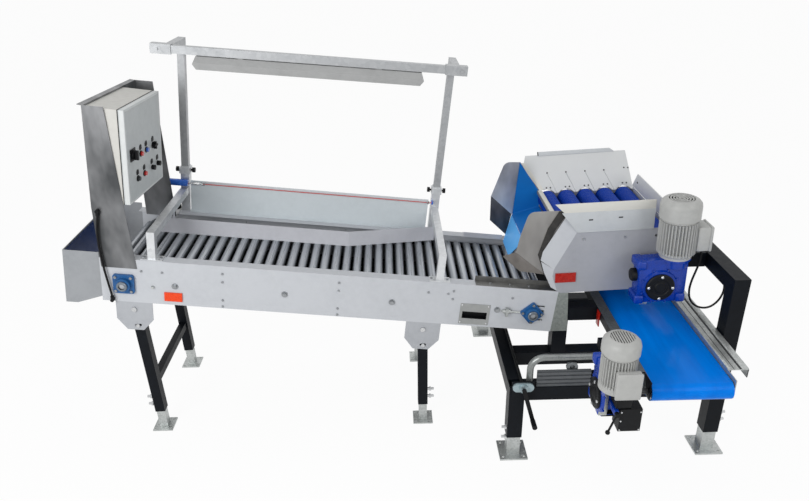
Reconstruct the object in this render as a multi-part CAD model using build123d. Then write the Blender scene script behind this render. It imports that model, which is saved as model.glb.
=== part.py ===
from build123d import *
import math
import os

os.makedirs("parts", exist_ok=True)

# Roller inspection table with its infeed cleaner, in millimetres.
# X runs along the table towards the cleaner, Y from the operator's side to the back, Z up.

# Table body
table_length = 2400.0
table_width = 700.0
table_rise = 858.0
table_slope = 6.34
panel_height = 250.0
panel_sheet = 3.0
panel_flange = 60.0
tie_dia = 40.0
tie_first = 378.0
tie_step = 570.0
tie_height = 112.0
tray_sheet = 1.5
tray_inset = 55.0

# Roller chain
roller_pitch = 60.0
wheel_steps = 8
roller_dia = 48.0
roller_inset = 62.0
pin_dia = 12.0
chain_inset = 36.0
chain_plate = 4.0
chain_height = 20.0
wheel_inset = 28.0
wheel_sheet = 5.0
shaft_dia = 30.0
shaft_height = 110.0
head_inset = 118.0
guide_height = 14.0
guide_reach = 44.0
slide_gap = 0.3
shaft_gap = 0.05

# Flange bearings and take-up
bearing_side = 108.0
bearing_base = 14.0
bearing_boss_dia = 76.0
bearing_boss = 20.0
tail_bearing_side = 96.0
take_up_length = 100.0
take_up_dia = 12.0
take_up_travel = 66.0
guide_slot_height = 9.0
guide_slot_rise = 42.0

# Discharge box
discharge_reach = 190.0
discharge_top = 278.0
discharge_drop = 25.0
discharge_lining = 4.0

# Panel fittings
handle_width = 162.0
handle_height = 125.0
handle_from_end = 512.0
cup_width = 138.0
cup_height = 46.0
cup_depth = 30.0
reflector_width = 92.0
reflector_height = 50.0
reflector_thick = 7.0

# Legs of the table
bracket_width = 190.0
bracket_drop = 170.0
bracket_sheet = 6.0
pivot_drop = 42.0
lock_drop = 142.0
pivot_dia = 16.0
lock_dia = 12.0
leg_swing = 6.0
leg_size = 55.0
leg_wall = 4.0
leg_clear = 117.0
left_leg_place = 160.0
left_leg_lean = 2.0
middle_leg_from_end = 699.0
middle_leg_lean = 0.0
leg_tie_size = 40.0
leg_tie_height = 310.0
foot_size = 46.0
foot_plate = 112.0
foot_sheet = 8.0
foot_engage = 160.0
foot_hole_dia = 11.0
foot_hole_space = 84.0

# Lamp stands and lamp frame
stand_size = 40.0
stand_left = 262.0
stand_from_end = 640.0
stand_front = 32.0
stand_arm_top = 405.0
stand_sole = 110.0
stand_sole_sheet = 5.0
mast_size = 50.0
mast_foot = 120.0
mast_top = 530.0
post_size = 40.0
post_gap = 0.3
post_foot = 340.0
lamp_arm_top = 1263.0
lamp_lane = 469.0
lamp_level = 1.1
sleeve_size = 50.0
sleeve_left_reach = 85.0
sleeve_right_reach = 58.0
sleeve_bolt_dia = 10.0
lamp_length = 1198.0
lamp_start = 394.0
lamp_width = 100.0
lamp_height = 63.0
lamp_nose = 13.0
lamp_gap = 4.0
tube_wall = 3.0
clamp_drop = 26.0
clamp_height = 36.0
clamp_sheet = 6.0
clamp_knob_dia = 30.0

# Back screen and pull cord
screen_start = 297.0
screen_gap = 43.0
screen_top = 450.0
screen_sheet = 4.0
rope_height = 437.0
rope_dia = 5.0
rope_switch_dia = 40.0
rope_switch_length = 135.0

# Lane divider and infeed guides
divider_start = 173.0
divider_bend = 513.0
divider_past = 10.0
divider_lane = 440.0
divider_end_lane = 622.0
divider_height = 90.0
divider_sheet = 3.0
infeed_length = 446.0
infeed_sheet = 3.0
infeed_height = 25.0

# Cabinet
cabinet_foot = 199.0
cabinet_top = 1036.0
cabinet_back = -12.0
cabinet_brow = 87.0
cabinet_toe = 189.0
cabinet_depth = 600.0
cabinet_lip = 28.0
cabinet_lip_rise = 2.0
box_place_u = -5.0
box_place_v = 12.0
box_place_w = 553.0
box_yaw = 4.5
box_depth = 158.0
box_width = 437.0
box_height = 474.0
box_sheet = 2.0
door_depth = 28.0
hinge_dia = 10.0
control_row_top = 218.0
control_row_low = 104.0

# Cleaner
cleaner_run = 91.0
cleaner_lift = 511.0
cleaner_tilt = 2.0
spiral_dia = 110.0
spiral_pitch = 115.5
spiral_count = 5
spiral_inset = 40.0
spiral_rear_inset = 12.0
spiral_shaft_dia = 25.0
bearing_strip = 16.0
bearing_strip_height = 56.0
cleaner_sheet = 3.0
cleaner_depth = 268.0
cleaner_rim = 82.0
cleaner_end = 530.0
flap_sheet = 6.0
flap_top = 242.0
flap_slope = 50.0
flap_length = 245.0
flap_tongue = 22.0
flap_clear = 4.0
front_flap_end = 398.0
strip_fold = 8.0
chute_fold = 22.0
chute_inset = 17.0
chute_round = 42.0
liner_sheet = 4.0
apron_start = 300.0
apron_rear_gap = 10.0
apron_hem_gap = 70.0
apron_hem_start = 425.0

# Waste belt
belt_drop = 389.0
belt_offset = 218.0
belt_width = 376.0
belt_sheet = 6.0
drum_dia = 78.0
drum_shaft_dia = 25.0
belt_front = -655.0
belt_past = 20.0
rail_width = 54.0
right_rail_width = 100.0
rail_sheet = 4.0
rail_rim = 20.0

# Dark frame
frame_size = 80.0
frame_wall = 5.0
frame_start = 316.0
frame_gap = 8.0
frame_overhang = 270.0
base_top = 450.0
arch_drop = 54.0
frame_clear = 125.0
frame_foot_size = 69.0
frame_foot_plate = 150.0
frame_foot_sheet = 10.0
frame_foot_engage = 180.0
frame_hole_dia = 14.0
frame_hole_space = 112.0
saddle_sheet = 6.0
saddle_width = 90.0
pipe_dia = 35.0
pipe_bend = 70.0
pipe_height = 615.0

# Gear motors
gearbox_width = 280.0
gearbox_height = 243.0
gearbox_low = 97.0
gearbox_depth = 110.0
gearbox_corner = 48.0
gear_cover_dia = 146.0
gear_cover = 12.0
motor_offset = 80.0
motor_flange_dia = 156.0
cowl_rim = 5.0
upper_motor_dia = 190.0
upper_motor_start = 148.0
upper_motor_length = 210.0
upper_cowl_length = 100.0
upper_terminal = 76.0
lower_motor_dia = 160.0
lower_motor_start = 56.0
lower_motor_length = 218.0
lower_cowl_length = 76.0
lower_terminal = 26.0
drive_motor_dia = 140.0
terminal_foot_gap = 36.0
terminal_height = 136.0
terminal_half = 56.0
upper_gear_x = 406.0
upper_gear_drop = 160.0
upper_gear_lean = 2.0
upper_gear_gap = 52.0
drive_gear_gap = 18.0
cable_dia = 11.0

# Fasteners
screw_head_dia = 13.0
screw_head = 5.0
bolt_head_dia = 24.0
bolt_head = 9.0
washer_dia = 34.0
washer = 3.0

# Values that follow from the sizes
slope = math.radians(table_slope)
wheel_r = roller_pitch / (2 * math.sin(math.pi / wheel_steps))
link_count = int((table_length - 2 * head_inset) / roller_pitch)
tail_u = head_inset + link_count * roller_pitch
handle_start = table_length - handle_from_end
middle_leg_place = table_length - middle_leg_from_end
stand_right = table_length - stand_from_end
screen_end = stand_right - screen_gap
divider_end = stand_right + divider_past
divider_knee = divider_end - divider_bend
infeed_start = table_length - infeed_length
top_w = shaft_height + wheel_r
low_w = shaft_height - wheel_r
roller_top = top_w + roller_dia / 2
end_x = table_length * math.cos(slope)
end_z = table_rise - table_length * math.sin(slope)
axle_x = end_x + cleaner_run
axle_z = end_z + cleaner_lift
belt_top = axle_z - belt_drop
drum_z = belt_top - belt_sheet - drum_dia / 2
belt_left = axle_x + belt_offset
belt_right = belt_left + belt_width
belt_rear = table_width + belt_past
lip_gap = 4.0
lip_left = belt_left - lip_gap
lip_right = belt_right + lip_gap
rail_outer_left = lip_left - rail_width
rail_outer_right = lip_right + right_rail_width
frame_left = axle_x - frame_start
frame_front = -frame_overhang
frame_rear = table_width + frame_overhang
arch_top = axle_z - arch_drop
half = frame_size / 2
frame_right = rail_outer_right + frame_gap + half

table = Pos(0, 0, table_rise) * Rot(0, table_slope, 0)
cabinet = table * Pos(box_place_u, box_place_v, box_place_w) * Rot(0, 0, -box_yaw)
cleaner = Pos(axle_x, 0, axle_z) * Rot(0, -cleaner_tilt, 0)
nodes = {}
cords = []


# Building blocks
def block(x0, x1, y0, y1, z0, z1):
    return Pos((x0 + x1) / 2, (y0 + y1) / 2, (z0 + z1) / 2) * Box(x1 - x0, y1 - y0, z1 - z0)


def flat(points):
    return make_face(Polyline(*points, close=True))


def plate_xz(points, y0, y1):
    plane = Plane((0, y0, 0), x_dir=(1, 0, 0), z_dir=(0, -1, 0))
    return extrude(plane * flat(points), y1 - y0, dir=(0, 1, 0))


def plate_xy(points, z0, z1):
    return extrude(Pos(0, 0, z0) * flat(points), z1 - z0, dir=(0, 0, 1))


def plate_yz(points, x0, x1):
    plane = Plane((x0, 0, 0), x_dir=(0, 1, 0), z_dir=(1, 0, 0))
    return extrude(plane * flat(points), x1 - x0, dir=(1, 0, 0))


def rod_x(y, z, x0, x1, dia):
    return Pos((x0 + x1) / 2, y, z) * Rot(0, 90, 0) * Cylinder(dia / 2, x1 - x0)


def rod_y(x, z, y0, y1, dia):
    return Pos(x, (y0 + y1) / 2, z) * Rot(90, 0, 0) * Cylinder(dia / 2, y1 - y0)


def rod_z(x, y, z0, z1, dia):
    return Pos(x, y, (z0 + z1) / 2) * Cylinder(dia / 2, z1 - z0)


def tube_x(x0, x1, y, z, size, wall):
    inner = size / 2 - wall
    return block(x0, x1, y - size / 2, y + size / 2, z - size / 2, z + size / 2) - block(
        x0, x1, y - inner, y + inner, z - inner, z + inner)


def tube_y(y0, y1, x, z, size, wall):
    inner = size / 2 - wall
    return block(x - size / 2, x + size / 2, y0, y1, z - size / 2, z + size / 2) - block(
        x - inner, x + inner, y0, y1, z - inner, z + inner)


def tube_z(z0, z1, x, y, size, wall):
    inner = size / 2 - wall
    return block(x - size / 2, x + size / 2, y - size / 2, y + size / 2, z0, z1) - block(
        x - inner, x + inner, y - inner, y + inner, z0, z1)


def hex_y(x, z, y0, y1, dia):
    plane = Plane((x, y0, z), x_dir=(1, 0, 0), z_dir=(0, 1, 0))
    return extrude(plane * RegularPolygon(dia / 2, 6), y1 - y0, dir=(0, 1, 0))


def screw_y(x, z, face, side, head_dia=screw_head_dia, head=screw_head, shank=panel_sheet):
    # side -1 puts the head in front of the face, side 1 behind it
    ends = sorted((face, face + side * head))
    inner = sorted((face, face - side * shank))
    return hex_y(x, z, *ends, head_dia) + rod_y(x, z, *inner, head_dia * 0.5)


def big_bolt_y(x, z, face, side):
    rim = sorted((face, face + side * washer))
    return rod_y(x, z, *rim, washer_dia) + screw_y(
        x, z, face, side, bolt_head_dia, washer + bolt_head, panel_sheet)


def mirror_y(shape):
    # The same piece on the other side of the table
    return Pos(0, table_width, 0) * mirror(shape, about=Plane.XZ)


def add(name, place, shapes):
    kept = nodes.setdefault(name, [])
    for shape in shapes:
        kept.extend((place * shape).solids())


def cord(name, points, dia):
    radii = []
    for before, corner, after in zip(points, points[1:], points[2:]):
        first = Vector(*corner) - Vector(*before)
        second = Vector(*after) - Vector(*corner)
        turn = math.radians(first.get_angle(second))
        radii.append(0.45 * min(first.length, second.length) / math.tan(turn / 2))
    path = FilletPolyline(*points, radius=radii)
    ring = Plane(origin=path @ 0, z_dir=path % 0) * Circle(dia / 2)
    add(name, Pos(0, 0, 0), [sweep(ring, path=path)])
    cords.append(name)
    print(name, "points", len(points), "smallest radius", round(min(radii), 1))


# Side panels: bent channel sheets with shaft holes and the window of the recessed handle
web = block(0, table_length, 0, panel_sheet, 0, panel_height)
top_lip = block(0, table_length, 0, panel_flange, panel_height - panel_sheet, panel_height)
low_lip = block(0, table_length, 0, panel_flange, 0, panel_sheet)
channel = web + top_lip + low_lip
channel = channel - rod_y(head_inset, shaft_height, 0, panel_sheet, shaft_dia + 8)
channel = channel - block(
    tail_u - 30, tail_u + take_up_travel, 0, panel_sheet,
    shaft_height - shaft_dia / 2 - 4, shaft_height + shaft_dia / 2 + 4)
for rise in (-guide_slot_rise, guide_slot_rise):
    slot_w = shaft_height + rise
    channel = channel - block(
        tail_u, tail_u + take_up_travel, 0, panel_sheet,
        slot_w - guide_slot_height / 2, slot_w + guide_slot_height / 2)
cup_u = handle_start + handle_width / 2
cup_w = 12 + handle_height * 0.45
cup_window = block(
    cup_u - cup_width / 2, cup_u + cup_width / 2, 0, panel_sheet,
    cup_w - cup_height / 2, cup_w + cup_height / 2)
add("front_side_panel", table, [channel - cup_window])
add("rear_side_panel", table, [mirror_y(channel)])

# Tie tubes between the panels, the dirt tray on their lower flanges and the strips on which the chains run
tie_places = [tie_first + i * tie_step for i in range(4) if tie_first + i * tie_step < table_length - 250]
for place in tie_places:
    tie = rod_y(place, tie_height, panel_sheet, table_width - panel_sheet, tie_dia)
    bore = rod_y(place, tie_height, panel_sheet, table_width - panel_sheet, tie_dia - 8)
    add("cross_members", table, [tie - bore])
tray = block(
    tray_inset, table_length - tray_inset, panel_sheet, table_width - panel_sheet,
    panel_sheet, panel_sheet + tray_sheet)
add("cross_members", table, [tray])
strip_start = head_inset + wheel_r + chain_height / 2 + 18
strip_end = tail_u - wheel_r - chain_height / 2 - 18
for centre in (top_w, low_w):
    strip_top = centre - chain_height / 2 - slide_gap
    strip_foot = max(strip_top - guide_height, panel_sheet)
    strip = block(strip_start, strip_end, panel_sheet, guide_reach, strip_foot, strip_top)
    add("cross_members", table, [strip, mirror_y(strip)])


# Endless roller chain, cut into four groups that move as one
def roller(reach):
    body = Cylinder(roller_dia / 2, table_width - 2 * roller_inset)
    pin = Cylinder(pin_dia / 2, table_width - 2 * reach)
    return Rot(90, 0, 0) * (body + pin)


half_width = table_width / 2
strand_reach = chain_inset + chain_plate
wheel_reach = wheel_inset + wheel_sheet
for name, height, first in (("top_strand", top_w, 1), ("return_strand", low_w, 0)):
    start = head_inset + first * roller_pitch
    finish = start + (link_count - 1) * roller_pitch
    for i in range(link_count):
        add(name, table, [Pos(start + i * roller_pitch, half_width, height) * roller(strand_reach)])
    bar = block(
        start - pin_dia, finish + pin_dia, chain_inset, strand_reach,
        height - chain_height / 2, height + chain_height / 2)
    add(name, table, [bar, mirror_y(bar)])

wheel_end = -bearing_base - bearing_boss - 6
for name, centre, turns in (("head_shaft", head_inset, 1), ("tail_shaft", tail_u, -1)):
    first = 0 if name == "head_shaft" else 1
    for i in range(first, first + 4):
        angle = math.radians(90 + turns * i * 360 / wheel_steps)
        spot = Pos(centre + wheel_r * math.cos(angle), half_width, shaft_height + wheel_r * math.sin(angle))
        add(name, table, [spot * roller(wheel_reach)])
    disc = rod_y(centre, shaft_height, wheel_inset, wheel_reach, 2 * wheel_r + chain_height)
    back_end = table_width - wheel_end
    if name == "head_shaft":
        back_end = table_width + bearing_base + bearing_boss + drive_gear_gap + gearbox_depth * 0.4
    shaft = rod_y(centre, shaft_height, wheel_end, back_end, shaft_dia)
    add(name, table, [shaft + disc + mirror_y(disc)])


# Bearings: square at the head, turned on a corner at the tail, oval at the crank
def bearing(side, turn):
    base = extrude(Plane.XZ * Rot(0, 0, turn) * RectangleRounded(side, side, side * 0.12), bearing_base)
    boss = rod_y(0, 0, -bearing_base - bearing_boss, -bearing_base, bearing_boss_dia)
    bore = rod_y(0, 0, -bearing_base - bearing_boss, 0, shaft_dia + 2 * shaft_gap)
    return base + boss - bore


head_bearing = Pos(head_inset, 0, shaft_height) * bearing(bearing_side, 0)
tail_bearing = Pos(tail_u, 0, shaft_height) * bearing(tail_bearing_side, 45)
add("flange_bearings", table, [head_bearing, mirror_y(head_bearing), tail_bearing, mirror_y(tail_bearing)])

# Discharge box at the head: two cheeks and the far wall, open below
cheek = plate_xz(
    [(0, discharge_top), (-discharge_reach + 10, discharge_top), (-discharge_reach, -discharge_drop),
     (-discharge_reach * 0.68, -discharge_drop), (0, discharge_drop)], 0, panel_sheet)
wall = plate_xz(
    [(-discharge_reach + 10, discharge_top), (-discharge_reach + 10 + panel_sheet, discharge_top),
     (-discharge_reach + panel_sheet, -discharge_drop), (-discharge_reach, -discharge_drop)],
    panel_sheet, table_width - panel_sheet)
add("discharge_box", table, [cheek, mirror_y(cheek), wall])
lining_foot = -discharge_reach + panel_sheet + 1.5
lining = plate_xz(
    [(lining_foot + 10, discharge_top - 8), (lining_foot + 10 + discharge_lining, discharge_top - 8),
     (lining_foot + 4 + discharge_lining, 60), (lining_foot + 4, 60)], panel_sheet, table_width - panel_sheet)
add("liners", table, [lining])

# Recessed handle, reflectors and hook on the front panel, take-up screws at the tail
handle = block(handle_start, handle_start + handle_width, -panel_sheet, 0, 12, 12 + handle_height)
cup = block(
    cup_u - cup_width / 2, cup_u + cup_width / 2, 0, cup_depth, cup_w - cup_height / 2, cup_w + cup_height / 2)
hollow = block(
    cup_u - cup_width / 2 + 2, cup_u + cup_width / 2 - 2, -panel_sheet, cup_depth - 2,
    cup_w - cup_height / 2 + 2, cup_w + cup_height / 2 - 2)
hook = block(258, 270, -12, 0, 92, 106) - block(261, 267, -9, 0, 95, 106)
table_reflector = block(322, 322 + reflector_width, -reflector_thick, 0, 24, 24 + reflector_height)
add("panel_fittings", table, [handle + cup - hollow, hook, table_reflector])
screw_start = tail_u - take_up_length - tail_bearing_side * 0.68
take_up_v = -take_up_dia / 2 - 2
take_up = rod_x(take_up_v, shaft_height, screw_start, screw_start + take_up_length, take_up_dia)
seat_start = screw_start + 20
seat_end = seat_start + 14
take_up_seat = block(seat_start, seat_end, -26, 0, shaft_height - 24, shaft_height + 24)
seat = take_up_seat - rod_x(take_up_v, shaft_height, seat_start, seat_end, take_up_dia)
for start in (seat_start - take_up_dia, seat_end):
    take_up = take_up + rod_x(take_up_v, shaft_height, start, start + take_up_dia, 2 * take_up_dia)
    take_up = take_up - block(start, start + take_up_dia, 0, 2 * take_up_dia, 0, panel_height)
add("panel_fittings", table, [take_up, seat, mirror_y(take_up), mirror_y(seat)])

# Leg brackets under the panels, with the pivot hole and the slot of the lock bolt
slot_half = (lock_drop - pivot_drop) * math.sin(math.radians(leg_swing)) + 1


def bracket(place, lean):
    side = bracket_width / 2
    tilt = math.radians(table_slope + lean)
    arm = lock_drop - pivot_drop
    lock_u = place + arm * math.sin(tilt)
    lock_w = -pivot_drop - arm * math.cos(tilt)
    sheet = plate_xz(
        [(place - side, 0), (place + side, 0), (place + side, -bracket_drop * 0.62),
         (place + side * 0.45, -bracket_drop), (place - side * 0.45, -bracket_drop),
         (place - side, -bracket_drop * 0.62)], 0, bracket_sheet)
    lip = block(place - side, place + side, bracket_sheet, panel_flange - 4, -bracket_sheet, 0)
    pivot = rod_y(place, -pivot_drop, 0, bracket_sheet, pivot_dia + 2 * shaft_gap)
    slot = extrude(
        Plane((lock_u, 0, lock_w), x_dir=(math.cos(tilt), 0, math.sin(tilt)), z_dir=(0, 1, 0))
        * SlotCenterToCenter(2 * slot_half, lock_dia + 1.6), bracket_sheet, dir=(0, 1, 0))
    return sheet + lip - pivot - slot


for place, lean in ((left_leg_place, left_leg_lean), (middle_leg_place, middle_leg_lean)):
    holder = bracket(place, lean)
    add("table_brackets", table, [holder, mirror_y(holder)])


# Legs hang on their pivot bolts and stand on telescopic feet
def pivot_at(place):
    x = place * math.cos(slope) - pivot_drop * math.sin(slope)
    z = table_rise - place * math.sin(slope) - pivot_drop * math.cos(slope)
    return x, z


def leg_frame(place, lean):
    x, z = pivot_at(place)
    return Pos(x, 0, z) * Rot(0, -lean, 0)


leg_face = bracket_sheet + slide_gap
leg_y = leg_face + leg_size / 2
leg_head = pivot_drop - 22


def leg(place, lean, side):
    length = (pivot_at(place)[1] - leg_clear) / math.cos(math.radians(lean))
    stem = tube_z(-length, leg_head, 0, leg_y, leg_size, leg_wall)
    lid = block(-leg_size / 2 + leg_wall, leg_size / 2 - leg_wall, leg_face + leg_wall,
                leg_face + leg_size - leg_wall, leg_head - leg_wall, leg_head)
    solids = [stem + lid]
    for z, dia in ((0, pivot_dia), (pivot_drop - lock_drop, lock_dia)):
        head = hex_y(0, z, -slide_gap - bolt_head, -slide_gap, dia * 1.8)
        solids.append(head + rod_y(0, z, -slide_gap, leg_face, dia))
    for up in (40, 90):
        z = -length + up
        knob = rod_x(leg_y, z, leg_size / 2, leg_size / 2 + 10, 17)
        solids.append(knob if side > 0 else mirror(knob, about=Plane.YZ))
    return solids


def foot(place, lean):
    x, z = pivot_at(place)
    length = (z - leg_clear) / math.cos(math.radians(lean))
    base_x = x + z * math.tan(math.radians(lean))
    stem = tube_z(-length - leg_clear - 40, -length + foot_engage, 0, leg_y, foot_size, 4)
    stem = leg_frame(place, lean) * stem
    stem = stem - block(base_x - 300, base_x + 300, leg_y - 100, leg_y + 100, -200, 0)
    low = leg_y - foot_plate / 2
    sole = block(base_x - foot_plate / 2, base_x + foot_plate / 2, low, low + foot_plate, 0, foot_sheet)
    for dx in (-0.5, 0.5):
        for dy in (-0.5, 0.5):
            hole_x = base_x + dx * foot_hole_space
            hole_y = leg_y + dy * foot_hole_space
            sole = sole - rod_z(hole_x, hole_y, 0, foot_sheet, foot_hole_dia)
    return stem - sole + sole


origin = Pos(0, 0, 0)
left_frame = leg_frame(left_leg_place, left_leg_lean)
left_solids = leg(left_leg_place, left_leg_lean, -1)
left_length = (pivot_at(left_leg_place)[1] - leg_clear) / math.cos(math.radians(left_leg_lean))
tie_drop = -left_length + leg_tie_height - leg_clear
leg_tie = tube_y(leg_face + leg_size, table_width - leg_face - leg_size, 0, tie_drop, leg_tie_size, tube_wall)
add("left_leg_frame", left_frame, left_solids + [mirror_y(s) for s in left_solids] + [leg_tie])
middle_frame = leg_frame(middle_leg_place, middle_leg_lean)
middle_solids = leg(middle_leg_place, middle_leg_lean, 1)
add("middle_leg_front", middle_frame, middle_solids)
add("middle_leg_rear", middle_frame, [mirror_y(s) for s in middle_solids])
for name, place, lean in (
        ("left", left_leg_place, left_leg_lean), ("middle", middle_leg_place, middle_leg_lean)):
    solid = foot(place, lean)
    add(name + "_foot_front", origin, [solid])
    add(name + "_foot_rear", origin, [mirror_y(solid)])

# Lamp stands: front upright, arm over the lane and hollow mast behind the rear panel
mast_v = table_width + mast_size / 2
arm_w = stand_arm_top - stand_size / 2
clamp_w = mast_top - clamp_drop
for place in (stand_left, stand_right):
    front = stand_front - stand_size / 2
    back = stand_front + stand_size / 2
    upright = tube_z(
        panel_height + stand_sole_sheet, stand_arm_top - tube_wall, place, stand_front, stand_size, tube_wall)
    lid = block(
        place - stand_size / 2, place + stand_size / 2, front, back, stand_arm_top - tube_wall, stand_arm_top)
    sole = block(
        place - stand_sole / 2, place + stand_sole / 2, 4, panel_flange,
        panel_height, panel_height + stand_sole_sheet)
    add("lamp_stands", table, [
        upright + lid + sole,
        tube_y(back, table_width, place, arm_w, stand_size, tube_wall),
        tube_z(mast_foot, mast_top, place, mast_v, mast_size, (mast_size - post_size) / 2 - post_gap),
        tube_z(clamp_w - clamp_height / 2, clamp_w + clamp_height / 2, place, mast_v,
               mast_size + 2 * clamp_sheet, clamp_sheet)])
    for side in (-1, 1):
        knob_start = mast_size / 2 + clamp_sheet
        knob = rod_x(mast_v, clamp_w, knob_start, knob_start + 8, 12)
        knob = knob + rod_x(mast_v, clamp_w, knob_start + 8, knob_start + 24, clamp_knob_dia)
        knob = knob if side > 0 else mirror(knob, about=Plane.YZ)
        add("plastic_fittings", table, [Pos(place, 0, 0) * knob])

# Lamp frame: two posts that slide in the masts, two arms with sleeves, the beam in them and the lamp under it
lamp_arm_w = lamp_arm_top - post_size / 2
lamp_arm_rear = mast_v + post_size / 2
beam_v = lamp_lane
arm_front = beam_v + sleeve_size / 2
lamp_lift = (stand_right - stand_left) * math.tan(math.radians(lamp_level))
arm_heights = ((stand_left, lamp_arm_w), (stand_right, lamp_arm_w + lamp_lift))
for place, height in arm_heights:
    add("lamp_frame", table, [
        tube_z(post_foot, height - post_size / 2, place, mast_v, post_size, tube_wall),
        tube_y(arm_front, lamp_arm_rear, place, height, post_size, tube_wall)])
beam_place = Pos(stand_left, 0, lamp_arm_w) * Rot(0, -lamp_level, 0)
beam_run = (stand_right - stand_left) / math.cos(math.radians(lamp_level))
sleeve_face = beam_v - sleeve_size / 2
sleeve_wall = (sleeve_size - post_size) / 2 - post_gap
beam = tube_x(8 - sleeve_left_reach, beam_run + sleeve_right_reach - 8, beam_v, 0, post_size, tube_wall)
add("lamp_frame", table, [beam_place * beam])
for start, end, bolt_x in (
        (-sleeve_left_reach, post_size / 2, -sleeve_left_reach * 0.6),
        (beam_run - sleeve_right_reach, beam_run + sleeve_right_reach, beam_run + sleeve_right_reach * 0.5)):
    shank = rod_y(bolt_x, 0, sleeve_face, beam_v - post_size / 2, sleeve_bolt_dia)
    sleeve = tube_x(start, end, beam_v, 0, sleeve_size, sleeve_wall) - shank
    bolt = shank + hex_y(bolt_x, 0, sleeve_face - 7, sleeve_face, sleeve_bolt_dia * 1.8)
    add("lamp_frame", table, [beam_place * sleeve, beam_place * bolt])
lamp_place = table * beam_place * Pos(-stand_left, 0, -lamp_arm_w)
lamp_top = lamp_arm_top - post_size - lamp_gap
lamp_foot = lamp_top - lamp_height
lamp_end = lamp_start + lamp_length
shade = plate_yz(
    [(beam_v - lamp_width * 0.25, lamp_top), (beam_v + lamp_width * 0.25, lamp_top),
     (beam_v + lamp_width / 2, lamp_top - lamp_height * 0.45), (beam_v + lamp_width / 2, lamp_foot),
     (beam_v - lamp_width / 2, lamp_foot), (beam_v - lamp_width / 2, lamp_top - lamp_height * 0.45)],
    lamp_start, lamp_end)
lamp_waist = lamp_top - lamp_height * 0.6
shade = shade & plate_xz(
    [(lamp_start + lamp_nose, lamp_top), (lamp_end - lamp_nose, lamp_top), (lamp_end, lamp_waist),
     (lamp_end - 1.5 * lamp_nose, lamp_foot), (lamp_start + 1.5 * lamp_nose, lamp_foot),
     (lamp_start, lamp_waist)],
    beam_v - lamp_width, beam_v + lamp_width)
clips = [block(lamp_start + lamp_length * k - 15, lamp_start + lamp_length * k + 15,
               beam_v - 18, beam_v + 18, lamp_top, lamp_top + lamp_gap) for k in (0.2, 0.8)]
add("lamp_housing", lamp_place, [shade] + clips)

# Back screen on its rail, rope switch with its pull cord and anchor
screen_v = table_width - 6
rail_top = panel_height + 12
add("back_screen", table, [
    block(screen_start - 7, stand_right - mast_size / 2 - 5, table_width - 14, table_width,
          panel_height, rail_top),
    block(screen_start, screen_end, screen_v - screen_sheet, screen_v, rail_top, screen_top)])
rope_v = table_width - 24
switch_end = stand_left + mast_size / 2 - 2
switch = rod_x(rope_v, rope_height, switch_end - rope_switch_length, switch_end, rope_switch_dia)
switch = switch + block(
    stand_left - 15, stand_left + 15, rope_v, table_width, rope_height - 12, rope_height + 12)
rope_end = stand_right - mast_size / 2
anchor = block(rope_end, rope_end + 10, rope_v - 8, table_width, rope_height - 8, rope_height + 8)
rope = rod_x(rope_v, rope_height, switch_end, rope_end, rope_dia)
add("rope_switch", table, [switch, anchor, rope])

# Lane divider hung from the arms, infeed guides on the panels' top flanges
divider_w = roller_top + 4
divider_top = divider_w + divider_height
straight = plate_xz(
    [(divider_start, divider_w), (divider_knee, divider_w), (divider_knee, divider_top),
     (divider_start + 65, divider_top)], divider_lane, divider_lane + divider_sheet)
bent = plate_xy(
    [(divider_knee, divider_lane), (divider_end, divider_end_lane),
     (divider_end, divider_end_lane + divider_sheet * 1.06), (divider_knee, divider_lane + divider_sheet)],
    divider_w, divider_top)
add("guide_plates", table, [straight + bent])
bent_rise = (divider_end_lane - divider_lane) / (divider_end - divider_knee)
right_lane = divider_lane + (stand_right - divider_knee) * bent_rise
for place, lane in ((stand_left, divider_lane), (stand_right, right_lane)):
    hanger = rod_z(place, lane + divider_sheet / 2, divider_top, stand_arm_top - stand_size, 10)
    add("guide_plates", table, [hanger])
front_guide = block(infeed_start, table_length, 0, panel_flange, panel_height, panel_height + infeed_sheet)
front_guide = front_guide + block(
    infeed_start, table_length, panel_flange - infeed_sheet, panel_flange, panel_height,
    panel_height + infeed_sheet + infeed_height)
rear_guide_end = infeed_start + 235
rear_guide = block(infeed_start, rear_guide_end, 0, panel_flange, panel_height, panel_height + infeed_sheet)
rear_guide = rear_guide + block(
    infeed_start, rear_guide_end, panel_flange - infeed_sheet, panel_flange, panel_height,
    panel_height + infeed_sheet + infeed_height)
add("guide_plates", table, [front_guide, mirror_y(rear_guide)])

# Cabinet: front side plate, back plate with its lip behind the box, rear side plate on a foot flange
yaw = math.radians(box_yaw)
brow_run = (cabinet_toe - cabinet_brow) / (cabinet_top - cabinet_foot)
rear_shift = cabinet_depth * math.tan(yaw)
rear_toe = cabinet_toe - (panel_height - cabinet_foot) * brow_run
back_low = -45.0
back_top = cabinet_top - box_place_w
back_start = -box_place_v / math.cos(yaw)
back_end = (cabinet_depth - box_place_v) / math.cos(yaw) - slide_gap


def cabinet_side(toe, foot):
    return plate_xz(
        [(cabinet_back, cabinet_top), (cabinet_brow, cabinet_top), (toe, foot), (10, foot),
         (cabinet_back, box_place_w - 25)], 0, panel_sheet)


rear_side = cabinet_side(rear_toe, panel_height)
rear_side = rear_side + block(
    10, rear_toe, panel_sheet, table_width - cabinet_depth, panel_height, panel_height + panel_sheet)
back_plate = block(-panel_sheet, 0, back_start, back_end, back_low, back_top)
back_lip = plate_xz(
    [(0, back_top), (-cabinet_lip, back_top + cabinet_lip_rise),
     (-cabinet_lip, back_top + cabinet_lip_rise - panel_sheet), (-panel_sheet, back_top - panel_sheet)],
    back_start, back_end)
add("cabinet_plates", table, [
    Pos(0, -panel_sheet, 0) * cabinet_side(cabinet_toe, cabinet_foot),
    Pos(rear_shift, cabinet_depth, 0) * rear_side])
add("cabinet_plates", cabinet, [back_plate + back_lip])

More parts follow.
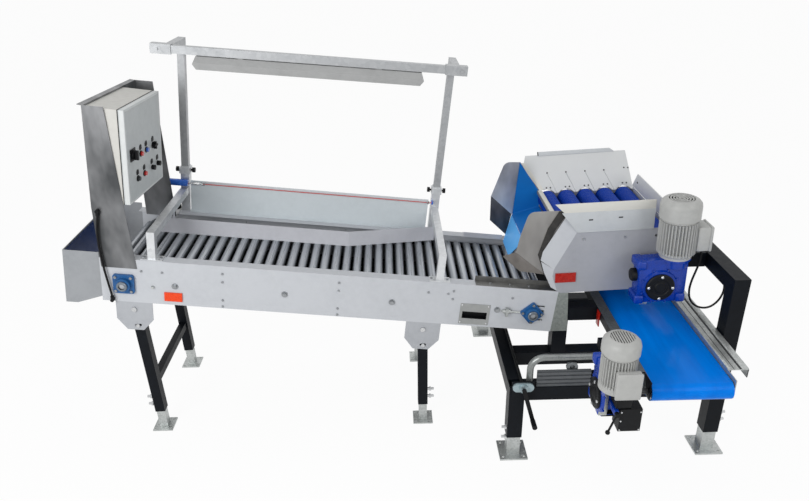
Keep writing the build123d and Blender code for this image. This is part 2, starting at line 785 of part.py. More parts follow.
# Control box with its hinge knuckles
box = block(0, box_depth, 0, box_width, 0, box_height)
box = box - block(box_sheet, box_depth, box_sheet, box_width - box_sheet, box_sheet, box_height - box_sheet)
hinge_a = box_depth + door_depth / 2
hinge_b = box_width + hinge_dia / 2
knuckles = []
for low in (91, box_height - 71):
    ear = block(box_depth - 24, box_depth - 2, box_width, box_width + hinge_dia, low, low + 30)
    strap = block(box_depth - 2, hinge_a, hinge_b - 3, hinge_b + 3, low, low + 30)
    knuckles.append(ear + strap + rod_z(hinge_a, hinge_b, low, low + 30, hinge_dia))
add("control_box", cabinet, [box] + knuckles)

# Door: a pan with bezels, label plates and hinge barrels
pan = block(box_depth + slide_gap, box_depth + door_depth, 0, box_width, 0, box_height)
pan = pan - block(
    box_depth + slide_gap, box_depth + door_depth - box_sheet, box_sheet, box_width - box_sheet,
    box_sheet, box_height - box_sheet)
face_a = box_depth + door_depth
for low in (60, box_height - 102):
    pan = pan + rod_z(hinge_a, hinge_b, low, low + 30, hinge_dia)
    pan = pan + block(hinge_a - 4, hinge_a + 4, box_width - 1, hinge_b, low, low + 30)
button_dia = 22.0
button_stem_dia = 16.0
knob_stem_dia = 8.0
button_places = {
    "red_button": (0.37, control_row_top), "blue_button": (0.53, control_row_top),
    "start_button": (0.25, control_row_low), "stop_button": (0.44, control_row_low)}
knob_places = {
    "main_switch": (0.15, control_row_top + 22), "mode_selector": (0.73, control_row_top),
    "speed_knob_1": (0.67, control_row_low), "speed_knob_2": (0.84, control_row_low)}
labels = []
for name, (share, height) in list(button_places.items()) + list(knob_places.items()):
    stem = button_stem_dia if name in button_places else knob_stem_dia
    pan = pan - rod_x(box_width * share, height, face_a - box_sheet, face_a, stem + 2 * shaft_gap)
    if name != "main_switch":
        middle = box_width * share
        labels.append(block(face_a, face_a + 1, middle - 15, middle + 15, height + 22, height + 40))
bezels = []
for name, (share, height) in button_places.items():
    ring = rod_x(box_width * share, height, face_a, face_a + 4, 31)
    bezels.append(ring - rod_x(box_width * share, height, face_a, face_a + 4, button_dia + 1))
share, height = knob_places["main_switch"]
main_plate = block(face_a, face_a + 4, box_width * share - 30, box_width * share + 30, height - 30, height + 30)
bezels.append(main_plate - rod_x(box_width * share, height, face_a, face_a + 4, knob_stem_dia + 2 * shaft_gap))
add("control_door", cabinet, [pan] + labels + bezels)
for name, (share, height) in button_places.items():
    middle = box_width * share
    add(name, cabinet, [
        rod_x(middle, height, face_a - 16, face_a + 5, button_stem_dia)
        + rod_x(middle, height, face_a + 5, face_a + 14, button_dia)])
for name in ("speed_knob_1", "speed_knob_2"):
    share, height = knob_places[name]
    middle = box_width * share
    add(name, cabinet, [
        rod_x(middle, height, face_a - 14, face_a + 1, knob_stem_dia)
        + rod_x(middle, height, face_a + 1, face_a + 19, 26)
        + block(face_a + 19, face_a + 20.5, middle - 1.5, middle + 1.5, height, height + 12)])
share, height = knob_places["mode_selector"]
middle = box_width * share
add("mode_selector", cabinet, [
    rod_x(middle, height, face_a - 14, face_a + 1, knob_stem_dia)
    + rod_x(middle, height, face_a + 1, face_a + 7, 34)
    + block(face_a + 7, face_a + 22, middle - 5, middle + 5, height - 19, height + 19)
    + block(face_a + 7, face_a + 22, middle - 19, middle + 19, height - 5, height + 5)])
share, height = knob_places["main_switch"]
middle = box_width * share
add("main_switch", cabinet, [
    rod_x(middle, height, face_a - 30, face_a + 5, knob_stem_dia)
    + rod_x(middle, height, face_a + 5, face_a + 13, 46)
    + block(face_a + 13, face_a + 30, middle - 7, middle + 7, height - 23, height + 23)])

# Cleaner: side panels, bearing strip and bores of the spiral rollers, bent front flange, end plate and gussets
axles = [i * spiral_pitch for i in range(spiral_count)]
bend_top = (6, cleaner_rim)
bend_knee = (-104, -125)
bend_low = (-110, -165)
bend_foot = (-84, -cleaner_depth + 15)
face = [bend_top, (cleaner_end, cleaner_rim), (cleaner_end, -cleaner_depth + 3), (-64, -cleaner_depth),
        bend_foot, bend_low, bend_knee]
rear_rim = spiral_dia / 2 - 5
rear_face = [(6, rear_rim), (cleaner_end, rear_rim)] + face[2:]
rear_panel = plate_xz(rear_face, -cleaner_sheet, 0)
axle_strip = block(
    -spiral_inset, axles[-1] + spiral_inset, 0, bearing_strip,
    -bearing_strip_height / 2, bearing_strip_height / 2)
for s in axles:
    bore = rod_y(s, 0, -cleaner_sheet, bearing_strip, spiral_shaft_dia + 2 * shaft_gap)
    axle_strip = axle_strip - bore
    rear_panel = rear_panel - bore
front_panel = plate_xz(face, -cleaner_sheet, 0)
wing = plate_xz([bend_knee, (-174, -74), (-164, -26), (-53, 164), bend_top], -cleaner_sheet, 0)
wing = wing.rotate(Axis((bend_knee[0], -cleaner_sheet, bend_knee[1]),
                        (bend_top[0] - bend_knee[0], 0, bend_top[1] - bend_knee[1])), -strip_fold)
low_wing = plate_xz(
    [bend_knee, (-172, -80), (-156, -141), (-116, -233), bend_foot, bend_low], -cleaner_sheet, 0)
low_wing = low_wing.rotate(Axis((bend_knee[0], -cleaner_sheet, bend_knee[1]),
                                (bend_knee[0] - bend_foot[0], 0, bend_knee[1] - bend_foot[1])), -strip_fold)
end_s = cleaner_end - 10
end_plate = block(end_s, end_s + 4, 0, table_width, -cleaner_depth + 40, rear_rim)
fold_y = math.cos(math.radians(flap_slope))
fold_t = math.sin(math.radians(flap_slope))
flap_y = table_width - 8
flap_t = spiral_dia / 2 + 4
under_y = flap_y + flap_sheet * fold_t
under_t = flap_t - flap_sheet * fold_y
gusset_start = (table_width + cleaner_sheet - under_y) / fold_y + 1
gussets = []
for s in (0.25, 0.8):
    low = (under_y + gusset_start * fold_y, under_t + gusset_start * fold_t)
    high = (under_y + flap_length * 0.9 * fold_y, under_t + flap_length * 0.9 * fold_t)
    gussets.append(plate_yz(
        [(table_width + cleaner_sheet, -40), (table_width + cleaner_sheet, rear_rim), low, high],
        cleaner_end * s, cleaner_end * s + 5))
folded_front = front_panel + wing + low_wing
add("cleaner_panels", cleaner, [folded_front, axle_strip, mirror_y(rear_panel), end_plate] + gussets)
cleaner_reflector = block(
    -96, 12, -cleaner_sheet - reflector_thick, -cleaner_sheet, -cleaner_depth + 66, -cleaner_depth + 119)
add("panel_fittings", cleaner, [cleaner_reflector])

# Rubber round the cleaner's mouth: front board, leaning rear board cut round the rollers, end board, nosing
front_flap = plate_xz(
    [(15, cleaner_rim - 12), (front_flap_end, cleaner_rim - 12), (front_flap_end, flap_top),
     (15 - (flap_top - cleaner_rim + 12) * 0.75, flap_top)], -cleaner_sheet - flap_sheet, -cleaner_sheet)
board = plate_xy(
    [(-20, 0), (-20, -flap_tongue), (end_s, -flap_tongue), (end_s - 16, flap_length - 14),
     (end_s - 82, flap_length), (-105, flap_length), (-122, flap_length * 0.74)], -flap_sheet, 0)
edge = plate_xy([(-36, 0), (-18, 0), (-120, flap_length * 0.74), (-140, flap_length * 0.73)], 0, 3)
lean = Pos(0, flap_y, flap_t) * Rot(flap_slope, 0, 0)
end_low = spiral_dia / 2 + 6
end_top = spiral_dia / 2 + 102
end_board = plate_yz(
    [(3, end_low), (flap_y - 6, end_low), (flap_y - 80, end_top), (3, end_top)], end_s - flap_sheet, end_s)
nose_t = spiral_dia / 2 - 6
nosing = block(-48, -30, chute_inset + 3, table_width - 3 - liner_sheet, nose_t, nose_t + 10)
board = lean * board
for s in axles:
    board = board - rod_y(s, 0, flap_y - 60, flap_y + 60, spiral_dia + 2 * flap_clear)
add("rubber_flaps", cleaner, [front_flap, board, lean * edge, end_board, nosing])

# Chute plates inside the panels, with rounded upper corners, each with a folded lower edge
def rounded(plate, x, y, z, radius):
    return fillet(plate.edges().filter_by(Axis.Y).sort_by_distance((x, y, z))[0], radius)


upper_front = plate_xz(
    [(-303, -23), (-280, 73), (-237, 198), (-33, 197), (-26, 164), (-26, 40), (-100, -165), (-147, -162)],
    chute_inset, chute_inset + 3)
upper_front = rounded(upper_front, -237, chute_inset, 198, chute_round)
lower_front = plate_xz([(-370, -59), (-303, -23), (-147, -162), (-280, -153)], chute_inset, chute_inset + 3)
lower_front = lower_front.rotate(Axis((-303, chute_inset + 3, -23), (156, 0, -139)), chute_fold)
upper_rear = plate_xz(
    [(-338, 36), (-256, 246), (-164, 241), (-60, 62), (-30, 40), (-30, -44), (-212, -90)],
    table_width - 3, table_width)
upper_rear = rounded(upper_rear, -256, table_width, 246, chute_round)
lower_rear = plate_xz([(-356, -109), (-338, 36), (-212, -90), (-261, -208)], table_width - 3, table_width)
lower_rear = lower_rear.rotate(Axis((-338, table_width - 3, 36), (126, 0, -126)), -chute_fold)
add("chute_plates", cleaner, [upper_front, lower_front, upper_rear, lower_rear])
slide = plate_xz([(-46, -44), (-46, -44 - liner_sheet), (-212, -92), (-212, -92 + liner_sheet)],
                 chute_inset + 4, table_width - 10)
apron_rear = table_width - apron_rear_gap
apron = plate_xz([(-212, -92), (-212 - liner_sheet, -92), (-272 - liner_sheet, -240), (-272, -240)],
                 apron_start, apron_rear)
apron = apron - plate_yz(
    [(table_width - apron_hem_gap, -240), (apron_rear, -100), (apron_rear, -240)], -290, -200)
apron = apron - plate_yz([(apron_start, -100), (apron_hem_start, -240), (apron_start, -240)], -290, -200)
cheek_liner = plate_xz(
    [(-168, 240), (-57, 66), (-50, nose_t + 8), (-30, nose_t + 8), (-30, -36), (-206, -82)],
    table_width - 3 - liner_sheet, table_width - 3)
add("liners", cleaner, [slide, apron, cheek_liner])

# Spiral rollers
for number, s in enumerate(axles, start=1):
    body = rod_y(s, 0, spiral_inset, table_width - spiral_rear_inset, spiral_dia)
    axle = rod_y(s, 0, 2, table_width + cleaner_sheet + 2, spiral_shaft_dia)
    add("spiral_roller_" + str(number), cleaner, [body + axle])

# Waste belt, its rails, drums and slider bed
rim_z = belt_top + rail_rim
rail_foot = drum_z - 30
rail_front = belt_front + 58
rail_rear = belt_rear - 20


def rail(width):
    inner = block(lip_left - rail_sheet, lip_left, belt_front - 30, rail_rear, rail_foot, rim_z)
    shelf = block(lip_left - width, lip_left, rail_front, rail_rear, rim_z - rail_sheet, rim_z)
    outer = block(lip_left - width, lip_left - width + rail_sheet, rail_front, rail_rear,
                  drum_z + drum_shaft_dia / 2 + 6, rim_z)
    joined = inner + shelf + outer
    for y in (belt_front, belt_rear - 60):
        joined = joined - rod_x(y, drum_z, lip_left - rail_sheet, lip_left, drum_shaft_dia + 2 * shaft_gap)
    return joined


left_rail = rail(rail_width)
middle_x = (belt_left + belt_right) / 2
right_rail = Pos(2 * middle_x, 0, 0) * mirror(rail(right_rail_width), about=Plane.YZ)
bed_top = belt_top - belt_sheet
bed = block(lip_left, lip_right, belt_front + 60, belt_rear - 120, bed_top - 6, bed_top)
add("belt_rails", origin, [left_rail, right_rail, bed])
tail_y = belt_rear - 60
outer_r = drum_dia / 2 + belt_sheet


def loop(radius):
    span = tail_y - belt_front
    shape = Pos((tail_y + belt_front) / 2, 0) * SlotCenterToCenter(span, 2 * radius)
    plane = Plane((belt_left, 0, drum_z), x_dir=(0, 1, 0), z_dir=(1, 0, 0))
    return extrude(plane * shape, belt_width, dir=(1, 0, 0))


add("waste_belt", origin, [loop(outer_r) - loop(drum_dia / 2)])
gear_x = lip_left - rail_width - 131
gear_face = gear_x + gearbox_depth / 2
drum_start = belt_left + 2
drum_body = rod_x(belt_front, drum_z, drum_start, belt_right - 2, drum_dia - 2 * slide_gap)
add("drive_drum", origin, [drum_body + rod_x(
    belt_front, drum_z, gear_face - gearbox_depth * 0.4, lip_right + rail_sheet + 8, drum_shaft_dia)])
tail_body = rod_x(tail_y, drum_z, drum_start, belt_right - 2, drum_dia - 2 * slide_gap)
add("tail_drum", origin, [tail_body + rod_x(
    tail_y, drum_z, lip_left - rail_sheet - 8, lip_right + rail_sheet + 8, drum_shaft_dia)])

# Dark frame: corner posts, base beams, arch, middle posts and the belt's carriers
beam_z = base_top - half
mid_x = axle_x - 35
mid_front = saddle_sheet + panel_sheet + half
inner_left = frame_left + half
inner_right = frame_right - half
rear_arch_y = table_width - half + 30
carrier_z = rim_z - half
hopper_z = arch_top - half - 4


def post_lid(y):
    return block(inner_right, frame_right + half, y - half, y + half, arch_top - frame_wall, arch_top)


corner_posts = [
    tube_z(frame_clear, base_top, frame_left, frame_front, frame_size, frame_wall),
    tube_z(frame_clear, base_top, frame_left, frame_rear, frame_size, frame_wall),
    tube_z(frame_clear, arch_top, frame_right, frame_front, frame_size, frame_wall) + post_lid(frame_front),
    tube_z(frame_clear, base_top, frame_right, frame_rear, frame_size, frame_wall)]
base_beams = [tube_x(inner_left, inner_right, y, beam_z, frame_size, frame_wall)
              for y in (frame_front, mid_front, table_width - mid_front, frame_rear)]
side_beams = [tube_y(frame_front + half, frame_rear - half, x, beam_z, frame_size, frame_wall)
              for x in (frame_left, frame_right)]
arch = [
    tube_y(frame_front + half, rear_arch_y - half, frame_right, arch_top - half, frame_size, frame_wall),
    tube_z(base_top, arch_top, frame_right, rear_arch_y, frame_size, frame_wall) + post_lid(rear_arch_y)]
end_world = axle_x + (end_s + 4) * math.cos(math.radians(cleaner_tilt)) + 8
for y in (mid_front, table_width - mid_front):
    arch.append(tube_x(end_world, inner_right, y, hopper_z, frame_size, frame_wall))
    arch.append(tube_z(base_top, rim_z, mid_x, y, frame_size, frame_wall))
    arch.append(tube_x(mid_x + half, rail_outer_left, y, carrier_z, frame_size, frame_wall))
for y in (frame_front, rear_arch_y):
    arch.append(block(rail_outer_right, inner_right, y - half, y + half, rim_z - 42, rim_z))
jack_x = axle_x + 114
jack = [
    rod_z(jack_x, frame_front, base_top, rim_z - 80, 16),
    block(jack_x - 20, rail_outer_left, frame_front - 30, frame_front + 30, rim_z - 80, rim_z - 35)]
jack_plate = block(jack_x - 46, jack_x + 46, frame_front - 36, frame_front + 36, base_top + 40, base_top + 48)
jack.append(jack_plate - rod_z(jack_x, frame_front, base_top + 40, base_top + 48, 16))
pipe_x = frame_left + 66
pipe_y = frame_front - 12
pipe_path = FilletPolyline(
    (pipe_x, pipe_y, base_top), (pipe_x, pipe_y, pipe_height), (rail_outer_left - 4, pipe_y, pipe_height),
    radius=pipe_bend)
pipe = sweep(Plane(origin=pipe_path @ 0, z_dir=pipe_path % 0) * Circle(pipe_dia / 2), path=pipe_path)
ring_x = axle_x - 35
ring_z = pipe_height - 60
ring_face = pipe_y + 7
ring_plate = block(ring_x - 20, ring_x + 20, ring_face, ring_face + 8, ring_z - 24, pipe_height - 10) - pipe
ring = rod_y(ring_x, ring_z, ring_face - 14, ring_face, 60)
ring = ring - rod_y(ring_x, ring_z, ring_face - 14, ring_face, 26)
ring_bolt = hex_y(ring_x, ring_z, ring_face - 8, ring_face, 16)
pipe_lug = block(rail_outer_left - 4, rail_outer_left, pipe_y - 20, pipe_y + 20, pipe_height - 25, rim_z - 36)
add("main_frame", origin, corner_posts + base_beams + side_beams + arch + jack + [pipe, pipe_lug, ring_plate])
corner_spots = (
    (frame_left, frame_front), (frame_left, frame_rear), (frame_right, frame_front), (frame_right, frame_rear))
for number, (x, y) in enumerate(corner_spots, start=1):
    sole = block(x - frame_foot_plate / 2, x + frame_foot_plate / 2, y - frame_foot_plate / 2,
                 y + frame_foot_plate / 2, 0, frame_foot_sheet)
    for dx in (-0.5, 0.5):
        for dy in (-0.5, 0.5):
            hole_x = x + dx * frame_hole_space
            hole_y = y + dy * frame_hole_space
            sole = sole - rod_z(hole_x, hole_y, 0, frame_foot_sheet, frame_hole_dia)
    stem = tube_z(frame_foot_sheet, frame_clear + frame_foot_engage, x, y, frame_foot_size, 4)
    add("frame_foot_" + str(number), origin, [sole + stem])

# Saddles between the table's end, the middle posts and the cleaner's panels
saddle_top = axle_z - cleaner_depth + 70
saddle_right = mid_x + half - 2
saddle_lean = 18.0
lean_x = math.tan(slope)
saddle_low = end_z + 2
saddle = plate_xz(
    [(end_x + 2 * lean_x, saddle_low), (saddle_right, saddle_low), (saddle_right - saddle_lean, saddle_top),
     (end_x + (saddle_top - end_z) * lean_x, saddle_top)], 0, saddle_sheet)
tongue = table * block(
    table_length - 60, table_length + 50, panel_sheet, saddle_sheet + panel_sheet, 8, panel_height - 8)
add("table_brackets", origin, [saddle + tongue, mirror_y(saddle + tongue)])


# Gear motors: one pattern placed three times, for the cleaner, the waste belt and the table
def gear_motor(start, length, dia, cowl_length, terminal, terminal_side):
    left = -gearbox_width / 2
    right = gearbox_width / 2
    head_z = gearbox_height - gearbox_low
    c = gearbox_corner
    inner = motor_offset - max(dia, motor_flange_dia) / 2 - 2
    case = plate_xz(
        [(left + c, -gearbox_low), (right - c, -gearbox_low), (right, c - gearbox_low), (right, start),
         (inner, start), (inner, head_z), (left + c, head_z), (left, head_z - c), (left, c - gearbox_low)],
        -gearbox_depth / 2, gearbox_depth / 2)
    case = case - rod_y(0, 0, gearbox_depth * 0.05, gearbox_depth / 2, shaft_dia + 2 * shaft_gap)
    cover = rod_y(0, 0, -gearbox_depth / 2 - gear_cover, -gearbox_depth / 2, gear_cover_dia)
    body = rod_z(motor_offset, 0, start, start + 14, motor_flange_dia)
    body = body + rod_z(motor_offset, 0, start + 14, start + length, dia)
    body = body + rod_z(motor_offset, 0, start + length, start + length + cowl_length, dia + 2 * cowl_rim)
    reach = motor_offset + dia / 2
    foot = start + terminal_foot_gap
    body = body + block(reach - 14, reach + terminal, terminal_side - terminal_half,
                        terminal_side + terminal_half, foot, foot + terminal_height)
    return case, cover, body


upper_y = -cleaner_sheet - upper_gear_gap - gearbox_depth / 2
upper_x = axle_x + upper_gear_x
upper_z = axle_z - upper_gear_drop
upper_spot = Pos(upper_x, upper_y, upper_z)
upper = upper_spot * Rot(0, -upper_gear_lean, 0)
lower = Pos(gear_x, belt_front, drum_z) * Rot(0, 0, -90)
head_gap = bearing_base + bearing_boss + drive_gear_gap + gearbox_depth / 2
drive = table * Pos(head_inset, table_width + head_gap, shaft_height) * Rot(0, 90, 0)
add("gear_motors", upper, gear_motor(
    upper_motor_start, upper_motor_length, upper_motor_dia, upper_cowl_length, upper_terminal, 0))
box_seat = 52.0
case, cover, body = gear_motor(
    lower_motor_start, lower_motor_length, lower_motor_dia, lower_cowl_length, lower_terminal, 20)
case = case - block(box_seat, gearbox_width, -gearbox_depth, gearbox_depth, -gearbox_height, 10)
add("gear_motors", lower, [case, cover, body])
drive_unit = gear_motor(
    upper_motor_start, upper_motor_length, drive_motor_dia, upper_cowl_length, upper_terminal, 0)
add("gear_motors", drive, [mirror(piece, about=Plane.XZ) for piece in drive_unit])
spacer_end = gearbox_depth / 2 + upper_gear_gap
spacer = rod_y(0, 0, gearbox_depth / 2, spacer_end, 90) - rod_y(0, 0, gearbox_depth / 2, spacer_end, 40)
add("gear_motors", upper_spot, [spacer])
torque_arm = block(gear_face, gear_face + 6, belt_front - box_seat + 4, belt_front + 110, drum_z - 90, drum_z + 45)
torque_arm = torque_arm - rod_x(belt_front, drum_z, gear_face, gear_face + 6, drum_shaft_dia + 10)
torque_arm = torque_arm + block(
    gear_face + 6, rail_outer_left, belt_front + 70, belt_front + 110, drum_z + 19, drum_z + 25)
add("table_brackets", origin, [torque_arm])

# Crank on the front beam and lock lever under the lower gear motor
crank_shaft_dia = 16.0
crank_lean = 16.0
crank_length = 200.0
crank_plate = 5.0
crank_x = frame_left + 28
crank_z = base_top + crank_shaft_dia / 2 + 2
crank_face = frame_front - half - crank_plate
crank_end = frame_rear - 60
crank_base = extrude(Plane((crank_x, crank_face, crank_z), x_dir=(1, 0, 0), z_dir=(0, -1, 0))
                     * SlotCenterToCenter(60, 50), 12, dir=(0, -1, 0))
crank_boss = rod_y(crank_x, crank_z, crank_face - 26, crank_face - 12, 44)
crank_bore = rod_y(crank_x, crank_z, crank_face - 26, crank_face, crank_shaft_dia + 2 * shaft_gap)
rear_block = block(crank_x - 20, crank_x + 20, crank_end - 40, crank_end - 10, base_top, crank_z + 20)
rear_block = rear_block - rod_y(
    crank_x, crank_z, crank_end - 40, crank_end - 10, crank_shaft_dia + 2 * shaft_gap)
add("flange_bearings", origin, [crank_base + crank_boss - crank_bore, rear_block, ring, ring_bolt])
crank_seat = block(
    crank_x - 58, crank_x + 58, crank_face, crank_face + crank_plate, base_top - 50, crank_z + 30)
add("main_frame", origin, [crank_seat - rod_y(
    crank_x, crank_z, crank_face, crank_face + crank_plate, crank_shaft_dia + 4)])
crank_hub = rod_y(crank_x, crank_z, crank_face - 50, crank_end, crank_shaft_dia)
arm = Rot(0, -crank_lean, 0) * block(-11, 11, crank_face - 50, crank_face - 40, -crank_length, 11)
grip = Rot(0, -crank_lean, 0) * rod_y(0, -crank_length + 14, crank_face - 110, crank_face - 50, 26)
add("crank", origin, [crank_hub + Pos(crank_x, 0, crank_z) * (arm + grip)])
lever_lean = 18.0
lever_x = gear_x - 2
lever_y = belt_front - 137
lever_z = drum_z - 12
lug = block(lever_x - 10, lever_x + 10, lever_y, belt_front - box_seat, lever_z - 13, lever_z + 13)
add("gear_motors", origin, [lug - rod_y(lever_x, lever_z, lever_y, lever_y + 20, 10 + 2 * shaft_gap)])
lever = rod_y(lever_x, lever_z, lever_y - 20, lever_y - 1, 20)
lever = lever + rod_y(lever_x, lever_z, lever_y - 1, lever_y + 18, 10)
lever_arm = rod_z(0, 0, -98, 0, 10) + Pos(0, 0, -102) * Sphere(11)
lever = lever + Pos(lever_x, lever_y - 10, lever_z) * Rot(0, lever_lean, 0) * lever_arm
add("lock_lever", origin, [lever])

# Plastic fittings: ribbed guard, black box of the belt drive, cable glands
guard_start = frame_left + 100
guard_end = jack_x - 52
guard_y = frame_front - half + 12
guard_height = 95.0
guard_ribs = 4
guard = block(guard_start, guard_end, guard_y, guard_y + 8, base_top, base_top + guard_height)
rib_step = guard_height / guard_ribs
for i in range(guard_ribs):
    rib_z = base_top + i * rib_step
    guard = guard + block(guard_start, guard_end, guard_y - 6, guard_y, rib_z, rib_z + rib_step * 0.6)
black_box = block(gear_x + 15, gear_x + 115, belt_front - 135, belt_front - box_seat, drum_z - 115, drum_z + 5)
add("plastic_fittings", origin, [guard, black_box])
gland_dia = 19.0
cable_v = -16.0
top_gland = rod_y(20, 512, cable_v - gland_dia / 2, -panel_sheet, gland_dia)
top_gland = top_gland + rod_z(20, cable_v, 490, 512, gland_dia)
low_gland = rod_y(56, 14, cable_v - gland_dia / 2, 0, gland_dia)
low_gland = low_gland + rod_z(56, cable_v, 14, 36, gland_dia)
add("plastic_fittings", table, [top_gland, low_gland])
for a, b in ((60, 40), (60, 90), (110, 40), (110, 90)):
    add("plastic_fittings", cabinet, [rod_z(a, b, -26, 0, 22)])
terminal_reach = motor_offset + upper_motor_dia / 2 + upper_terminal / 2
terminal_foot = upper_motor_start + terminal_foot_gap
add("plastic_fittings", upper, [rod_z(terminal_reach, 0, terminal_foot - 18, terminal_foot, gland_dia)])
arch_gland = (frame_right + 25, -50.0, arch_top - frame_size)
beam_gland = rod_z(arch_gland[0], arch_gland[1], arch_gland[2] - 20, arch_gland[2], gland_dia)
add("plastic_fittings", origin, [beam_gland])

# Cables
table_points = [(20, 490), (14, 452), (10, 398), (11, 340), (16, 282), (23, 224), (32, 166), (42, 112),
                (51, 68), (56, 36)]
cabinet_points = [
    (u * math.cos(slope) + w * math.sin(slope), cable_v, table_rise - u * math.sin(slope) + w * math.cos(slope))
    for u, w in table_points]
cord("cabinet_cable", cabinet_points, cable_dia)
gland_foot = terminal_foot - 18
lean_up = math.radians(upper_gear_lean)
cable_start_x = upper_x + terminal_reach * math.cos(lean_up) - gland_foot * math.sin(lean_up)
cable_start_z = upper_z + terminal_reach * math.sin(lean_up) + gland_foot * math.cos(lean_up)
cable_end = (arch_gland[0], arch_gland[1], arch_gland[2] - 20)
start_run = [(0, 0, 0), (4, 1, -54), (-8, 2, -114), (-22, 3, -174), (-26, 4, -232), (-12, 6, -286),
             (24, 9, -326), (74, 13, -344)]
end_run = [(-27, -20, -182), (11, -14, -145), (29, -8, -95), (23, -4, -45), (0, 0, 0)]
motor_points = [(cable_start_x + dx, upper_y + dy, cable_start_z + dz) for dx, dy, dz in start_run]
motor_points += [(cable_end[0] + dx, cable_end[1] + dy, cable_end[2] + dz) for dx, dy, dz in end_run]
cord("motor_cable", motor_points, cable_dia)

# Fasteners
seam_places = [table_length * 0.26, table_length * 0.513]
panel_screws = [(u, w) for u in seam_places for w in (206, 158, 50, 12)]
panel_screws += [(stand_right + 80, 206), (stand_right + 80, 158), (table_length - 240, 190)]
for stand in (stand_left, stand_right):
    panel_screws += [(stand - 53, 188), (stand + 53, 188)]
for u, w in panel_screws:
    piece = screw_y(u, w, 0, -1)
    add("fasteners", table, [piece, mirror_y(piece)])
for place in tie_places:
    piece = big_bolt_y(place, tie_height, 0, -1)
    add("fasteners", table, [piece, mirror_y(piece)])
for centre, side, turn in ((head_inset, bearing_side, 45), (tail_u, tail_bearing_side, 0)):
    for i in range(4):
        angle = math.radians(turn + 90 * i)
        reach = side * (0.52 if turn else 0.54)
        piece = screw_y(centre + reach * math.cos(angle), shaft_height + reach * math.sin(angle),
                        -bearing_base, -1, 16, 7, bearing_base)
        add("fasteners", table, [piece, mirror_y(piece)])
for place in (left_leg_place, middle_leg_place):
    for side in (-0.36, 0.36):
        spot = place + side * bracket_width
        bolt = rod_z(spot, 32, -bracket_sheet - 7, -bracket_sheet, 16)
        bolt = bolt + rod_z(spot, 32, -bracket_sheet, panel_sheet, 8)
        add("fasteners", table, [bolt, mirror_y(bolt)])
for s in (24, cleaner_end * 0.45, cleaner_end * 0.75):
    piece = screw_y(s + 18, cleaner_rim - 40, -cleaner_sheet, -1, 14, 5, cleaner_sheet)
    add("fasteners", cleaner, [piece])
for place in (stand_left, stand_right):
    for side in (-0.4, 0.4):
        spot = place + side * stand_sole
        sole_top = panel_height + stand_sole_sheet
        add("fasteners", table, [rod_z(spot, stand_front, sole_top, sole_top + 6, 14)
                                 + rod_z(spot, stand_front, panel_height - panel_sheet, sole_top, 8)])
for u in (infeed_start + 80, infeed_start + 185, infeed_start + 290):
    add("fasteners", table, [rod_z(u, 28, panel_height + infeed_sheet, panel_height + infeed_sheet + 5, 14)
                             + rod_z(u, 28, panel_height - panel_sheet, panel_height + infeed_sheet, 8)])

# Shift to the centre of the footprint, then save every node
solids = [solid for name, kept in nodes.items() if name not in cords for solid in kept]
whole = Compound(solids).bounding_box()
shift = Pos(-(whole.min.X + whole.max.X) / 2, -(whole.min.Y + whole.max.Y) / 2, -whole.min.Z)
for name, kept in nodes.items():
    export_step(Compound([shift * solid for solid in kept]), os.path.join("parts", name + ".step"))
print(len(nodes), "nodes", len(solids), "solids; size", [round(v, 1) for v in whole.size])
print("shift", [round(v, 2) for v in shift.position])
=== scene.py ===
import math

import bmesh
import bpy
from mathutils import Matrix, Vector


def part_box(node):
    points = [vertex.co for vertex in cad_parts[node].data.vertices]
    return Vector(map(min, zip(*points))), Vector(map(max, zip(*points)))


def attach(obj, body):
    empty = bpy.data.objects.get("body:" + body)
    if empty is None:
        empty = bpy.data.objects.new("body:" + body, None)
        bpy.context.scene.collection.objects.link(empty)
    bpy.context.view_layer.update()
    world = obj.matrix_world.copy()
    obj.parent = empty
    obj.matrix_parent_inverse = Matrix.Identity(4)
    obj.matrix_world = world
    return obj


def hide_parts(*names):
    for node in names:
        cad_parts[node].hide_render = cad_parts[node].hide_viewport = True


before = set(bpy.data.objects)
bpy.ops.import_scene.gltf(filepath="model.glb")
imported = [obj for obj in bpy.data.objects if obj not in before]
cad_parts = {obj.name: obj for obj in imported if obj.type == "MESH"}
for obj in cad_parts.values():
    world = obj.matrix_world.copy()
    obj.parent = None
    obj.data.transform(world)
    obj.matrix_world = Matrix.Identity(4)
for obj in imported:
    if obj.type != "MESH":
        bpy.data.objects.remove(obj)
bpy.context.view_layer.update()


# Side panels, discharge box and leg brackets
# Long bent channels of 3 mm sheet steel, powder coated light grey, with the box and the brackets bolted on.
# The coat gives an even satin colour with a fine orange peel and faint hand marks.
def linear(code):
    # sRGB hex to the linear colour that a shader takes
    parts = [int(code[i:i + 2], 16) / 255 for i in (0, 2, 4)]
    return tuple(c / 12.92 if c <= 0.04045 else ((c + 0.055) / 1.055) ** 2.4 for c in parts) + (1.0,)


def wire(tree, node, inputs):
    # A socket among the inputs is linked to the node, and a value is set on the node's own socket
    for key, value in inputs.items():
        if isinstance(value, bpy.types.NodeSocket):
            tree.links.new(value, node.inputs[key])
        else:
            node.inputs[key].default_value = value


def put(tree, kind, inputs=None, output=0, **settings):
    # One new shader node with its settings and links, handed on by one of its outputs
    node = tree.nodes.new("ShaderNode" + kind)
    for key, value in settings.items():
        setattr(node, key, value)
    wire(tree, node, inputs or {})
    return node.outputs[output]


def blank(name):
    # A new finish with its shader and the object coordinates that its patterns read
    finish = bpy.data.materials.new(name)
    finish.use_nodes = True
    tree = finish.node_tree
    return finish, tree, tree.nodes["Principled BSDF"], put(tree, "TexCoord", output="Object")


